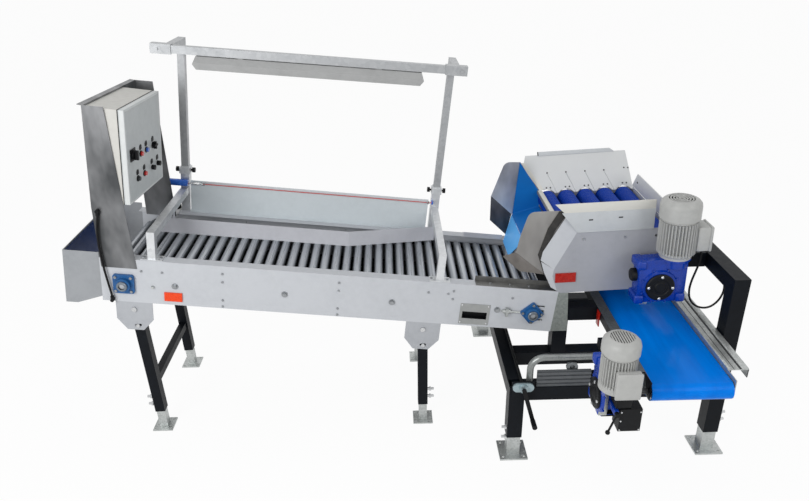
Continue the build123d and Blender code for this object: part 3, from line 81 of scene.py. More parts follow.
def powder_coat(name, colour, smudge, roughness, shine=0.35, peel=0.0025):
    # Baked powder on steel: hand marks 160 mm across, grime at 30 mm, orange peel drawn 2.5 mm wide to show
    finish, tree, shader, place = blank(name)
    marks = put(tree, "TexNoise", {"Vector": place, "Scale": 1 / 0.16, "Detail": 4.0, "Roughness": 0.55})
    grime = put(tree, "TexNoise", {"Vector": place, "Scale": 1 / 0.03, "Detail": 3.0, "Roughness": 0.6})
    both = put(tree, "Math", {0: marks, 1: grime}, operation="MULTIPLY")
    share = put(tree, "MapRange", {"Value": both, "From Min": 0.16, "From Max": 0.46, "To Max": 0.7})
    tint = put(tree, "MixRGB", {"Fac": share, "Color1": linear(colour), "Color2": linear(smudge)})
    sheen = put(tree, "MapRange", {"Value": grime, "From Min": 0.3, "From Max": 0.7,
                                   "To Min": roughness - 0.05, "To Max": roughness + 0.06})
    skin = put(tree, "TexNoise", {"Vector": place, "Scale": 1 / peel, "Detail": 2.0})
    bump = put(tree, "Bump", {"Height": skin, "Strength": 0.08, "Distance": 0.0004})
    wire(tree, shader, {"Base Color": tint, "Roughness": sheen, "Normal": bump, "IOR": 1.5,
                        "Specular IOR Level": shine})
    return finish


def paint(node, finish, where=None):
    # The whole CAD node, or only the faces whose middle passes the test, takes the finish
    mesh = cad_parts[node].data
    if where is None:
        mesh.materials.clear()
        mesh.materials.append(finish)
        mesh.polygons.foreach_set("material_index", [0] * len(mesh.polygons))
        return
    mesh.materials.append(finish)
    for face in mesh.polygons:
        if where(face.center):
            face.material_index = len(mesh.materials) - 1


panel_grey = powder_coat("powder_coat_light_grey", "C1C4C9", "B8BBC0", 0.45)
for node in ("front_side_panel", "rear_side_panel"):
    paint(node, panel_grey)
paint("table_brackets", powder_coat("powder_coat_bracket_grey", "AEB1B6", "A2A5AA", 0.42))
paint("discharge_box", powder_coat("powder_coat_discharge_grey", "989B9F", "8B8E92", 0.42))


# Cross tubes, chain strips, dirt tray and saddles
# Hot-dip galvanised steel: grey zinc with a spangle of crystals 9 mm wide; the cross members inside the table
# are painted near black as painted shade under the rollers.
def galvanised(name, light, dark, roughness, crystal=0.009, metal=0.75):
    # Zinc or bare metal: crystals inside soft patches 60 mm across, which also give a faint relief
    finish, tree, shader, place = blank(name)
    spangle = put(tree, "TexVoronoi", {"Vector": place, "Scale": 1 / crystal}, "Color")
    patches = put(tree, "TexNoise", {"Vector": place, "Scale": 1 / 0.06, "Detail": 5.0, "Roughness": 0.6})
    share = put(tree, "Math", {0: spangle, 1: patches}, operation="MULTIPLY")
    tint = put(tree, "MixRGB", {"Fac": share, "Color1": linear(light), "Color2": linear(dark)})
    sheen = put(tree, "MapRange", {"Value": patches, "From Min": 0.3, "From Max": 0.7,
                                   "To Min": roughness - 0.08, "To Max": roughness + 0.1})
    bump = put(tree, "Bump", {"Height": patches, "Strength": 0.1, "Distance": 0.001})
    wire(tree, shader, {"Base Color": tint, "Roughness": sheen, "Normal": bump, "Metallic": metal})
    return finish


def shift(x, y, z):
    return Matrix.Translation((x, y, z))


def turn(degrees, axis):
    return Matrix.Rotation(math.radians(degrees), 4, axis)


# The drawing frame has its origin on the floor under the table's front left corner
table_height, table_fall = 0.858, 6.34
floor_frame = shift(-1.55286, -0.102, 0.0)
to_floor = floor_frame.inverted()
table_frame = floor_frame @ shift(0, 0, table_height) @ turn(table_fall, "Y")
to_table = table_frame.inverted()
saddles_from = 2.30
zinc = galvanised("hot_dip_zinc", "C4C7C6", "7F8583", 0.42)
shadow_black_zinc = powder_coat("shadow_black_zinc", "131414", "1F1F1E", 0.7, shine=0.1)
saddle_zinc = galvanised("weathered_zinc", "A2A8A4", "6E7572", 0.5, crystal=0.012)
# The cross members take a near-black coat as painted shade in the gaps between the rollers
paint("cross_members", shadow_black_zinc)
paint("table_brackets", saddle_zinc, lambda spot: (to_table @ spot).x > saddles_from)

# Roller chain
# Steel tubes 48 mm across on pins between two chains, one every 60 mm, the gaps dark with painted shade from
# the near-black parts below.
# Each tube's crown is painted light as a painted highlight, with streaks 11 mm wide along it that are partly
# rubbing and partly painted reflection; the flanks are painted dark as painted shade.
roller_pitch, first_roller = 0.060, 0.118
roller_grey, tree, shader, place = blank("roller_tube_painted_highlight")
table_way = table_frame.to_3x3() @ Vector((1, 0, 0))
chain_origin = -(table_frame.translation.dot(table_way) + first_roller)
along = put(tree, "VectorMath", {0: place, 1: table_way}, "Value", operation="DOT_PRODUCT")
from_first = put(tree, "Math", {0: along, 1: chain_origin}, operation="ADD")
pitches = put(tree, "Math", {0: from_first, 1: roller_pitch}, operation="DIVIDE")
# Distance from each tube's top line: a painted highlight on the crown, painted shade on the flanks
off_highlight = put(tree, "Math", {0: pitches, 1: 0.5}, operation="PINGPONG")
stretched = put(tree, "Mapping", {"Vector": place, "Scale": (90.0, 2.5, 90.0)})
marks_and_reflection_streaks = put(tree, "TexNoise", {"Vector": stretched, "Scale": 1.0, "Detail": 3.0})
# The crown's light grey is a painted highlight, broken by streaks
crown = put(tree, "MixRGB", {"Fac": marks_and_reflection_streaks, "Color1": linear("9DA2A8"), "Color2": linear("BFC3C8")})
flank_shade = put(tree, "MapRange", {"Value": off_highlight, "From Min": 0.20, "From Max": 0.42})
tint = put(tree, "MixRGB", {"Fac": flank_shade, "Color1": crown, "Color2": linear("4A4F54")})
sheen = put(tree, "MapRange", {"Value": marks_and_reflection_streaks, "From Min": 0.3, "From Max": 0.7, "To Min": 0.24,
                               "To Max": 0.36})
bump = put(tree, "Bump", {"Height": marks_and_reflection_streaks, "Strength": 0.01, "Distance": 0.0005})
wire(tree, shader, {"Base Color": tint, "Roughness": sheen, "Normal": bump, "Metallic": 0.6})
for node in ("top_strand", "head_shaft", "tail_shaft"):
    paint(node, roller_grey)
# The return strand is painted dark as painted shade under the top strand
paint("return_strand", powder_coat("shaded_return_roller_tube", "2C2E30", "1E2022", 0.6, shine=0.15))


# Flange bearings
# Cast-iron housings painted blue, each with a steel insert that turns with the shaft and a set collar.
# The lowest ones, at the crank, are pressed from zinc-plated sheet and hold a plain steel ring.
def at_crank(spot):
    return (to_floor @ spot).z < 0.62


bearing_blue = powder_coat("cast_iron_blue_enamel", "1F5C96", "153E68", 0.36, shine=0.4, peel=0.004)
paint("flange_bearings", bearing_blue)
pale_zinc = galvanised("passivated_zinc", "A9B9BE", "7E949C", 0.35, crystal=0.005, metal=0.5)
ring_steel = galvanised("drawn_ring_steel", "7C8082", "4A4E50", 0.4, crystal=0.006)
paint("flange_bearings", pale_zinc, at_crank)
paint("flange_bearings", ring_steel, lambda spot: at_crank(spot) and (to_floor @ spot).x > 2.25)


def turned(profile, steps=40):
    # A shape off the lathe: (radius, height) points spun about Z
    bm = bmesh.new()
    chain = [bm.verts.new((radius, 0, height)) for radius, height in profile]
    edges = [bm.edges.new(pair) for pair in zip(chain, chain[1:])]
    bmesh.ops.spin(bm, geom=chain + edges, cent=(0, 0, 0), axis=(0, 0, 1), dvec=(0, 0, 0),
                   angle=2 * math.pi, steps=steps, use_merge=True)
    bmesh.ops.remove_doubles(bm, verts=bm.verts, dist=0.00001)
    return bm


def mount_piece(name, shapes, finish, body="table", stands_for=(), base=None):
    # A finished piece from shapes with their places: normals outwards, sharp edges kept, riding on its body
    bm = bmesh.new()
    for shape, where in shapes:
        bmesh.ops.transform(shape, matrix=where, verts=shape.verts)
        held = bpy.data.meshes.new("held")
        shape.to_mesh(held)
        shape.free()
        bm.from_mesh(held)
        bpy.data.meshes.remove(held)
    if base:
        bmesh.ops.transform(bm, matrix=base, verts=bm.verts)
    bmesh.ops.recalc_face_normals(bm, faces=bm.faces)
    mesh = bpy.data.meshes.new(name)
    bm.to_mesh(mesh)
    bm.free()
    mesh.materials.append(finish)
    mesh.shade_smooth()
    mesh.set_sharp_from_angle(angle=math.radians(35))
    piece = bpy.data.objects.new(name, mesh)
    bpy.context.scene.collection.objects.link(piece)
    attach(piece, body)
    if stands_for:
        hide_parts(*stands_for)


along_y = turn(90, "X")
shaft_height, tail_place = 0.110, 2.278
insert_steel = galvanised("bearing_insert_steel", "848C94", "444C56", 0.34, crystal=0.004, metal=0.8)
collars = []
for u in (first_roller, tail_place):
    for v, side in ((-0.034, 1), (0.734, -1)):
        ring = turned([(0.0155, 0.0), (0.027, 0.0), (0.027, 0.010), (0.024, 0.013), (0.0155, 0.013)])
        outwards = Matrix.Scale(side, 4, (0, 1, 0)) @ along_y
        collars.append((ring, table_frame @ shift(u, v, shaft_height) @ outwards))
mount_piece("bearing_collars", collars, insert_steel)


# Linings of the discharge box, chute and apron
# Soft polyurethane sheets 3.5 mm thick, dark blue in the box, mid blue on slide and cheek, pale on the apron.
# They hang from screws along their upper edges and bow a little in the middle.
def soft_sheet(name, colour, shade, roughness, shine=0.2):
    # Calendered rubber or polyurethane: matt, colour in waves of 150 mm and a skin drawn 3 mm wide to show
    finish, tree, shader, place = blank(name)
    wave = put(tree, "TexNoise", {"Vector": place, "Scale": 1 / 0.15, "Detail": 4.0, "Roughness": 0.6})
    tint = put(tree, "MixRGB", {"Fac": wave, "Color1": linear(colour), "Color2": linear(shade)})
    sheen = put(tree, "MapRange", {"Value": wave, "From Min": 0.3, "From Max": 0.7,
                                   "To Min": roughness - 0.05, "To Max": roughness + 0.08})
    skin = put(tree, "TexNoise", {"Vector": place, "Scale": 1 / 0.003, "Detail": 3.0})
    bump = put(tree, "Bump", {"Height": skin, "Strength": 0.12, "Distance": 0.0005})
    wire(tree, shader, {"Base Color": tint, "Roughness": sheen, "Normal": bump, "IOR": 1.52,
                        "Specular IOR Level": shine})
    return finish


def hung_sheet(corners, thick=0.0035, sag=0.002):
    # A soft sheet on its corners, cut into a grid, bowed a little in the middle and given its thickness
    bm = bmesh.new()
    face = bm.faces.new([bm.verts.new(corner) for corner in corners])
    bm.normal_update()
    out = face.normal.copy()
    bmesh.ops.subdivide_edges(bm, edges=list(bm.edges), cuts=10, use_grid_fill=True)
    first, second, fourth = Vector(corners[0]), Vector(corners[1]), Vector(corners[-1])
    for vert in bm.verts:
        across = (vert.co - first).dot(second - first) / (second - first).length_squared
        down = (vert.co - first).dot(fourth - first) / (fourth - first).length_squared
        bow = math.sin(math.pi * min(max(across, 0), 1)) * math.sin(math.pi * min(max(down, 0), 1))
        vert.co += out * sag * bow
    bmesh.ops.solidify(bm, geom=list(bm.faces), thickness=thick)
    return bm


lining_blue = soft_sheet("polyurethane_navy", "06306E", "052656", 0.5)
slide_blue = soft_sheet("polyurethane_blue", "0F72C4", "0B60A8", 0.5)
apron_blue = soft_sheet("polyurethane_pale_blue", "70C2FF", "5CB2FF", 0.45, shine=0.1)
axle_x, axle_z, cleaner_rise = 2.47632, 1.10397, -2
cleaner_frame = floor_frame @ shift(axle_x, 0, axle_z) @ turn(cleaner_rise, "Y")
to_cleaner = cleaner_frame.inverted()
lining = hung_sheet(
    [(-0.1755, 0.003, 0.27), (-0.1755, 0.697, 0.27), (-0.1815, 0.697, 0.06), (-0.1815, 0.003, 0.06)])
mount_piece("discharge_lining", [(lining, table_frame)], lining_blue, stands_for=("liners",))
slide = hung_sheet(
    [(-0.046, 0.021, -0.044), (-0.046, 0.690, -0.044), (-0.212, 0.690, -0.088), (-0.212, 0.021, -0.088)])
cheek = hung_sheet(
    [(-0.168, 0.694, 0.240), (-0.046, 0.694, 0.050), (-0.046, 0.694, -0.040), (-0.208, 0.694, -0.086)],
    thick=0.003, sag=0.0)
fold = turned([(0.0, 0.0), (0.005, 0.0), (0.005, 0.162), (0.0, 0.162)], 16)
fold_place = cleaner_frame @ shift(-0.048, 0.6905, -0.0445) @ turn(-105.2, "Y")
chute = [(slide, cleaner_frame), (cheek, cleaner_frame), (fold, fold_place)]
mount_piece("chute_slide", chute, slide_blue)
apron = hung_sheet(
    [(-0.213, 0.300, -0.092), (-0.213, 0.690, -0.092), (-0.273, 0.632, -0.240), (-0.273, 0.425, -0.240)])
mount_piece("chute_apron", [(apron, cleaner_frame)], apron_blue)

# Panel fittings
# A pressed steel handle with a dark recess, acrylic reflectors, a bent hook and threaded take-up rods.
# Four dome screws hold the handle's plate.
paint("panel_fittings", zinc)
# Moulded prisms, drawn 6 mm wide to show, break up the red; this copy is painted brighter orange as painted
# light for the left reflector
lit_reflector_orange, tree, shader, place = blank("acrylic_reflector_painted_lit")
prism_width = 0.006
prisms = put(tree, "TexVoronoi", {"Vector": place, "Scale": 1 / prism_width}, "Distance",
             distance="CHEBYCHEV")
tint = put(tree, "MixRGB", {"Fac": prisms, "Color1": linear("F4501C"), "Color2": linear("D2300C")})
bump = put(tree, "Bump", {"Height": prisms, "Strength": 0.3, "Distance": 0.001})
wire(tree, shader, {"Base Color": tint, "Normal": bump, "Roughness": 0.3, "Specular IOR Level": 0.3})


def moulded(name, colour, worn, roughness, shine=0.5, coat=0.0):
    # Moulded plastic or rubber: a grain drawn 1.5 mm wide to show, and lighter in rubbed spots 30 mm across
    finish, tree, shader, place = blank(name)
    rub = put(tree, "TexNoise", {"Vector": place, "Scale": 1 / 0.03, "Detail": 5.0, "Roughness": 0.65})
    share = put(tree, "MapRange", {"Value": rub, "From Min": 0.42, "From Max": 0.75, "To Max": 0.6})
    tint = put(tree, "MixRGB", {"Fac": share, "Color1": linear(colour), "Color2": linear(worn)})
    sheen = put(tree, "MapRange", {"Value": rub, "From Min": 0.3, "From Max": 0.7,
                                   "To Min": roughness - 0.06, "To Max": roughness + 0.1})
    grain = put(tree, "TexNoise", {"Vector": place, "Scale": 1 / 0.0015, "Detail": 2.0})
    bump = put(tree, "Bump", {"Height": grain, "Strength": 0.1, "Distance": 0.0003})
    wire(tree, shader, {"Base Color": tint, "Roughness": sheen, "Normal": bump, "IOR": 1.5,
                        "Specular IOR Level": shine, "Coat Weight": coat})
    return finish


def on_reflector(spot):
    near_table = to_table @ spot
    near_cleaner = to_cleaner @ spot
    left = 0.32 < near_table.x < 0.416 and near_table.y < 0.002 and 0.02 < near_table.z < 0.08
    right = -0.1 < near_cleaner.x < 0.016 and near_cleaner.y < -0.002 and -0.21 < near_cleaner.z < -0.14
    return left or right


def in_handle_cup(spot):
    near = to_table @ spot
    return 1.9 < near.x < 2.04 and -0.0005 < near.y < 0.05


def on_handle_plate(spot):
    near = to_table @ spot
    return 1.88 < near.x < 2.06 and near.y < 0.0001


bright_steel = galvanised("turned_steel", "D2D3D4", "A3A6A8", 0.26, crystal=0.004, metal=0.9)
black_plastic = moulded("black_polyamide", "0C0D0F", "1A1C1F", 0.45, shine=0.18)
reflector_deep = moulded("acrylic_reflector_deep_red", "A5160C", "C22A18", 0.25, shine=0.4)
handle_grey = powder_coat("handle_pressing_grey", "9A9C9B", "888A89", 0.42, shine=0.5)
# The left reflector takes the brighter orange copy as painted light; the right one takes the deep red
paint("panel_fittings", lit_reflector_orange, on_reflector)
paint("panel_fittings", reflector_deep, lambda spot: on_reflector(spot) and (to_table @ spot).x > 1.0)
paint("panel_fittings", black_plastic, in_handle_cup)
paint("panel_fittings", handle_grey, on_handle_plate)
dome_head = [(0.0, 0.0), (0.0055, 0.0), (0.0050, 0.0018), (0.0030, 0.003), (0.0, 0.0034)]
dome_screws = [(turned(dome_head, 16), table_frame @ shift(u, -0.003, w) @ along_y)
               for u in (1.897, 2.041) for w in (0.022, 0.127)]
mount_piece("handle_screws", dome_screws, bright_steel)

# Legs, feet and the dark frame
# Square tubes powder coated anthracite, on telescopic feet of galvanised tube with drilled plates.
# Zinc-plated bolts pinch the feet; the bent hand rail in front is bare drawn steel tube.
anthracite_and_shade = powder_coat("powder_coat_anthracite", "0D1015", "15191F", 0.42, shine=0.11)
bare_tube = galvanised("drawn_steel_tube", "8F9291", "5C605F", 0.36, crystal=0.006)
legs = ("left_leg_frame", "middle_leg_front", "middle_leg_rear")
for node in (*legs, "main_frame"):
    paint(node, anthracite_and_shade)
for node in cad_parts:
    if "foot" in node:
        paint(node, zinc)


def on_left_bolts(spot):
    # The heads stand out to the left of the leg, which leans
    return spot.z < 0.22 and spot.x < -1.4040 - (spot.z - 0.16) * 0.035


def on_hand_rail(spot):
    x, y, z = to_floor @ spot
    return -0.3001 < y < -0.2639 and 0.4505 < z < 0.6335 and 2.205 < x < 2.6315 and (z > 0.59 or x < 2.32)


for node in legs:
    paint(node, bright_steel, lambda spot: not -0.0002 < (to_floor @ spot).y < 0.7002)
paint("left_leg_frame", bright_steel, on_left_bolts)
bolt_reach = 0.0101
for node in legs[1:]:
    bolts_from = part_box(node)[1].x - bolt_reach
    paint(node, bright_steel, lambda spot: spot.x > bolts_from)
paint("main_frame", bare_tube, on_hand_rail)

# Lamp stands, lamp frame and lamp
# Square aluminium tubes with a mill finish, clamped in sleeves; the lamp hangs under the beam on two clips.
# Drawing leaves a soft grey sheen with faint patches.
paint("lamp_frame", galvanised("mill_finish_tube", "AAACAE", "8E9194", 0.42, crystal=0.02, metal=0.6))
# The stands take a lighter copy of the mill finish as painted light
paint("lamp_stands", galvanised("mill_finish_stand_painted_light", "D8DADC", "B0B3B6", 0.4, crystal=0.02, metal=0.6))
paint("lamp_housing", powder_coat("lamp_housing_grey", "A3A4A4", "959696", 0.42, shine=0.4))

# Back screen and rope switch
# A thin pale sheet stands behind the lane; above it a taut red cord with a turnbuckle works a blue switch.
# Ring clamps close the cord's loops.
paint("back_screen", powder_coat("screen_sheet_pale", "D2DADE", "CAD2D6", 0.4))
switch_blue = moulded("switch_blue_enamel", "1A5CC0", "2C78DC", 0.3, coat=0.3)
cord_red = moulded("red_cord_sheath", "C03A3A", "CF6A66", 0.5)
paint("rope_switch", switch_blue)
paint("rope_switch", zinc, lambda spot: (to_table @ spot).z < 0.40)
paint("rope_switch", cord_red, lambda spot: 0.2855 < (to_table @ spot).x < 1.735)
cord_depth, cord_height = 0.676, 0.437
along_u = turn(90, "Y")
barrel = turned([(0.0, 0.0), (0.004, 0.0), (0.004, 0.014), (0.009, 0.018), (0.009, 0.052), (0.004, 0.056),
                 (0.004, 0.072), (0.0, 0.072)], 20)
tension = [(barrel, table_frame @ shift(0.300, cord_depth, cord_height) @ along_u)]
for u in (0.290, 0.374, 1.716):
    clamp = turned([(0.004, -0.003), (0.010, -0.003), (0.010, 0.003), (0.004, 0.003), (0.004, -0.003)], 20)
    tension.append((clamp, table_frame @ shift(u, cord_depth, cord_height) @ along_y))
mount_piece("cord_turnbuckle", tension, bright_steel)


# Guide plates, chute plates and cabinet plates
# Brushed stainless sheet, bent and bolted: fine lines one way and broad soft grey reflections.
# The divider between the lanes and the rear guide are painted pale grey: a painted reflection on their sheet.
def brushed(name, light, dark, roughness, cloud, metal=0.7):
    # Brush lines, drawn 6 mm wide to show, run along Z; clouds of this width stand for its reflections
    finish, tree, shader, place = blank(name)
    lay = put(tree, "Mapping", {"Vector": place, "Scale": (160.0, 160.0, 3.0)})
    wide = put(tree, "Mapping", {"Vector": place, "Scale": (1 / cloud, 1 / cloud, 0.5 / cloud)})
    lines = put(tree, "TexNoise", {"Vector": lay, "Scale": 1.0, "Detail": 2.0})
    clouds = put(tree, "TexNoise", {"Vector": wide, "Scale": 1.0, "Detail": 3.0})
    share = put(tree, "MapRange", {"Value": clouds, "From Min": 0.32, "From Max": 0.68})
    tint = put(tree, "MixRGB", {"Fac": share, "Color1": linear(dark), "Color2": linear(light)})
    sheen = put(tree, "MapRange", {"Value": lines, "From Min": 0.3, "From Max": 0.7,
                                   "To Min": roughness - 0.05, "To Max": roughness + 0.07})
    bump = put(tree, "Bump", {"Height": lines, "Strength": 0.05, "Distance": 0.0004})
    wire(tree, shader, {"Base Color": tint, "Roughness": sheen, "Normal": bump, "Metallic": metal})
    return finish


def on_front_guide(spot):
    near = to_table @ spot
    return near.x > 1.95 and near.y < 0.35


def on_low_chute(spot):
    # Below the slanting fold of each plate
    near = to_cleaner @ spot
    if near.y > 0.5:
        return near.z < 0.036 - (near.x + 0.338) - 0.002
    return near.z < -0.023 - (near.x + 0.303) * 0.891 - 0.002


def on_rear_chute(spot):
    return (to_cleaner @ spot).y > 0.5


# Lit and shaded copies of one brushed stainless: the rear plate lighter as painted light, the low folds
# darker as painted shade
chute_rear_lit = brushed("brushed_stainless_rear_lit", "D2D4DA", "8E9096", 0.36, 0.14)
chute_shade = brushed("brushed_stainless_shaded", "64656A", "3E4046", 0.4, 0.10)
chute_low_shade = brushed("brushed_stainless_low_fold_shade", "96918D", "66625F", 0.38, 0.12)
paint("cabinet_plates", brushed("brushed_stainless_cabinet", "8A8B8D", "4A4C4E", 0.34, 0.13))
# The pale grey coat on the divider is a painted reflection
paint("guide_plates", powder_coat("divider_painted_reflection_grey", "C6C7CD", "BBBCC2", 0.4, shine=0.4))
paint("guide_plates", brushed("brushed_stainless_guide", "7C7C7A", "525250", 0.38, 0.12), on_front_guide)
paint("chute_plates", brushed("brushed_stainless_chute", "A8A6A3", "757371", 0.36, 0.20))
paint("chute_plates", chute_rear_lit, on_rear_chute)
paint("chute_plates", chute_shade, lambda spot: on_low_chute(spot) and on_rear_chute(spot))
paint("chute_plates", chute_low_shade, lambda spot: on_low_chute(spot) and not on_rear_chute(spot))


# Painted shadow on the chute's front plate
# A black strip along the right edge, where the plate meets the cleaner's bent flange, is painted shadow for
# the dark band there.
def cut_plate(outline, thick, soften=0.0):
    # A flat plate of any outline in XY, thick along Z
    bm = bmesh.new()
    face = bm.faces.new([bm.verts.new((x, y, 0)) for x, y in outline])
    made = bmesh.ops.extrude_face_region(bm, geom=[face])["geom"]
    bmesh.ops.translate(bm, vec=(0, 0, thick), verts=[v for v in made if isinstance(v, bmesh.types.BMVert)])
    if soften:
        bmesh.ops.bevel(bm, geom=list(bm.edges), offset=soften, segments=2, profile=0.5, affect="EDGES",
                        material=-1)
    return bm


def across_cleaner(depth):
    # An upright plane along the cleaner, this far behind its front
    return cleaner_frame @ shift(0, depth, 0) @ along_y


black_gasket_and_shadow_strip = moulded("black_gasket_and_painted_shadow", "323130", "4C4A48", 0.5, shine=0.2)
shadow_strip = cut_plate([(-0.086, 0.196), (-0.141, 0.103), (-0.188, -0.043), (-0.152, -0.162), (-0.141, -0.164),
                  (-0.160, -0.050), (-0.103, 0.089), (-0.036, 0.196)], 0.003, 0.0012)
# A black strip laid on as painted shadow along the plate's right edge
mount_piece("chute_painted_shadow_strip", [(shadow_strip, across_cleaner(0.0165))], black_gasket_and_shadow_strip)


# Control box and door
# A folded steel box coated beige grey, its hinged door rounded at the rim and sealed by a dark gasket; the
# rim is painted paler than the door as a painted highlight.
# Turned and moulded controls sit under dark label plates.
def slab(low, high, soften=0.0, steps=2):
    # A block between two corners, its edges rounded by soften
    bm = bmesh.new()
    bmesh.ops.create_cube(bm, size=1.0)
    bmesh.ops.scale(bm, vec=Vector(high) - Vector(low), verts=bm.verts)
    bmesh.ops.translate(bm, vec=(Vector(high) + Vector(low)) / 2, verts=bm.verts)
    if soften:
        bmesh.ops.bevel(bm, geom=list(bm.edges), offset=soften, segments=steps, profile=0.5, affect="EDGES",
                        material=-1)
    return bm


box_frame = table_frame @ shift(-0.005, 0.012, 0.553) @ turn(-4.5, "Z")
to_box = box_frame.inverted()
box_width, door_face = 0.437, 0.1862
door_rim_highlight = powder_coat("powder_coat_door_rim_highlight", "D3D6D6", "C9CCCC", 0.42)
paint("control_box", powder_coat("powder_coat_beige_grey", "CAC9C4", "BFBEB9", 0.45))
paint("control_door", powder_coat("powder_coat_door_grey", "BFC4C5", "B6BBBC", 0.42))
paint("control_door", black_plastic, lambda spot: (to_box @ spot).x > door_face)
rim_bars = (((-0.0006, -0.0006), (0.012, 0.4746)), ((0.425, -0.0006), (0.4376, 0.4746)),
            ((0.0, -0.0006), (box_width, 0.012)), ((0.0, 0.462), (box_width, 0.4746)))
# The rim's paler grey is a painted highlight on the door's rounded edge
door_rim = [(slab((0.1605, *low), (0.1868, *high), 0.0045, 3), box_frame) for low, high in rim_bars]
mount_piece("door_rim", door_rim, door_rim_highlight, "door")
gasket_bars = (((-0.0014, 0.0), (0.0, 0.474)), ((0.0, 0.474), (box_width, 0.4754)),
               ((0.0, -0.0014), (box_width, 0.0)))
gasket = [(slab((0.1535, *low), (0.1580, *high)), box_frame) for low, high in gasket_bars]
mount_piece("door_gasket", gasket, black_gasket_and_shadow_strip)
labels = []
for row, shares in ((0.218, (0.37, 0.53, 0.73)), (0.104, (0.25, 0.44, 0.67, 0.84))):
    for share in shares:
        b = box_width * share
        plate = slab((door_face, b - 0.010, row + 0.019), (0.1876, b + 0.010, row + 0.046), 0.0004)
        labels.append((plate, box_frame))
mount_piece("control_labels", labels, black_plastic, "door")
button_red = moulded("button_red", "C8201C", "DA4A40", 0.28, coat=0.3)
button_blue = moulded("button_blue", "1E55B8", "3E74D0", 0.28, coat=0.3)
button_dark = moulded("button_black", "1C1E20", "303234", 0.3, coat=0.3)
for node, finish in (("main_switch", black_plastic), ("red_button", button_red), ("blue_button", button_blue),
                     ("start_button", button_dark), ("stop_button", button_red),
                     ("mode_selector", black_plastic), ("speed_knob_1", black_plastic),
                     ("speed_knob_2", black_plastic)):
    paint(node, finish)


# Cleaner panels and front board
# Coated steel sides carry the rollers. A coated flange on the front panel holds a white rubber board.
# Two bolt slots in the flange let the board be raised.
def on_cleaner_front(spot):
    # The flat of the front panel, right of the bent edge
    near = to_cleaner @ spot
    up = near.z + 0.125
    right = near.x + 0.104
    return near.y < 0.004 and right > up * 0.5314 and right > -up * 0.156


paint("cleaner_panels", panel_grey)
# The flat of the front panel is painted a darker grey than its bent edge as painted shade
paint("cleaner_panels", powder_coat("powder_coat_front_painted_shade", "A6A8AE", "9C9EA4", 0.42), on_cleaner_front)
board_white = soft_sheet("white_rubber_board", "DEDDD6", "D4D3CC", 0.5)
board_grey = soft_sheet("grey_rubber_board", "D9DBDB", "CFD1D2", 0.5)
flange_grey = powder_coat("powder_coat_pale_flange", "C3C7CA", "BABEC1", 0.42)
board_thick = 0.006
board_outline = [(-0.060, 0.188), (0.398, 0.188), (0.398, 0.242), (-0.114, 0.242)]
front_board = [(cut_plate(board_outline, board_thick, 0.0015), across_cleaner(-0.003))]
mount_piece("front_board", front_board, board_white, stands_for=("rubber_flaps",))
flange = cut_plate([(0.006, 0.083), (0.398, 0.083), (0.398, 0.194), (-0.078, 0.194)], 0.0035, 0.001)
foot_bend = cut_plate([(0.006, 0.083), (0.398, 0.083), (0.398, 0.087), (0.003, 0.087)], 0.003, 0.001)
mount_piece("front_flange", [(flange, across_cleaner(-0.0065)), (foot_bend, across_cleaner(-0.009))],
            flange_grey)
slots = [(slab((s - 0.011, -0.0104, t - 0.0035), (s + 0.011, -0.0095, t + 0.0035), 0.0003), cleaner_frame)
         for s, t in ((0.071, 0.150), (0.223, 0.156))]
mount_piece("flange_slots", slots, black_plastic)

# Rear and end boards
# Stiff grey-white rubber behind the rollers, cut in lobes round each of them and slit to let stones pass.
# A folded rim stiffens the top, an angle strip closes the left edge, and pairs of bolts hold the foot.
rear_lean = cleaner_frame @ shift(0, 0.692, 0.059) @ turn(50, "X")
behind = rear_lean @ shift(0, 0, -board_thick)
spiral_step, half_board, slit_lean = 0.1155, 0.05655, 0.046
slit_top, board_left, board_right = 0.105, -0.0792, 0.5125
above_slits = [(board_left, slit_top), (board_right, slit_top), (0.504, 0.230), (-0.110, 0.227),
               (-0.122, 0.181)]
rear_board = [(cut_plate(above_slits, board_thick), behind)]
lobe = ((-0.0462, -0.022), (-0.036, -0.0103), (-0.020, 0.0003), (0.0, 0.0046), (0.020, 0.0003),
        (0.036, -0.0103), (0.0462, -0.022))
last = 4
for i in range(last + 1):
    middle = i * spiral_step
    outline = [(middle + s, l) for s, l in lobe]
    if i == 0:
        outline = [(-0.021, 0.0003)] + outline[3:]
    left_foot = [(middle - half_board, -0.022)] if i else []
    left_top = middle - half_board - slit_lean if i else board_left
    right_foot = middle + half_board if i < last else 0.520
    right_top = right_foot - slit_lean if i < last else board_right
    outline = left_foot + outline + [(right_foot, -0.022), (right_top, slit_top), (left_top, slit_top)]
    rear_board.append((cut_plate(outline, board_thick), behind))
mount_piece("rear_board", rear_board, board_grey)
rim = cut_plate([(-0.034, 0.219), (0.436, 0.226), (0.410, 0.250), (-0.034, 0.247)], 0.012, 0.002)
mount_piece("rear_board_rim", [(rim, rear_lean @ shift(0, 0, -0.008))], flange_grey)
strip = cut_plate([(-0.046, 0.0), (-0.018, 0.0), (-0.120, 0.181), (-0.151, 0.179)], 0.003, 0.0008)
ledge = slab((-0.057, 0.0205, 0.049), (-0.030, 0.6925, 0.059), 0.003)
mount_piece("angle_strip", [(strip, rear_lean), (ledge, cleaner_frame)], board_white)
strip_leg = cut_plate([(-0.049, 0.0), (-0.046, 0.0), (-0.151, 0.179), (-0.154, 0.178)], 0.022)
ledge_leg = slab((-0.060, 0.0205, 0.037), (-0.057, 0.6925, 0.0585), 0.001)
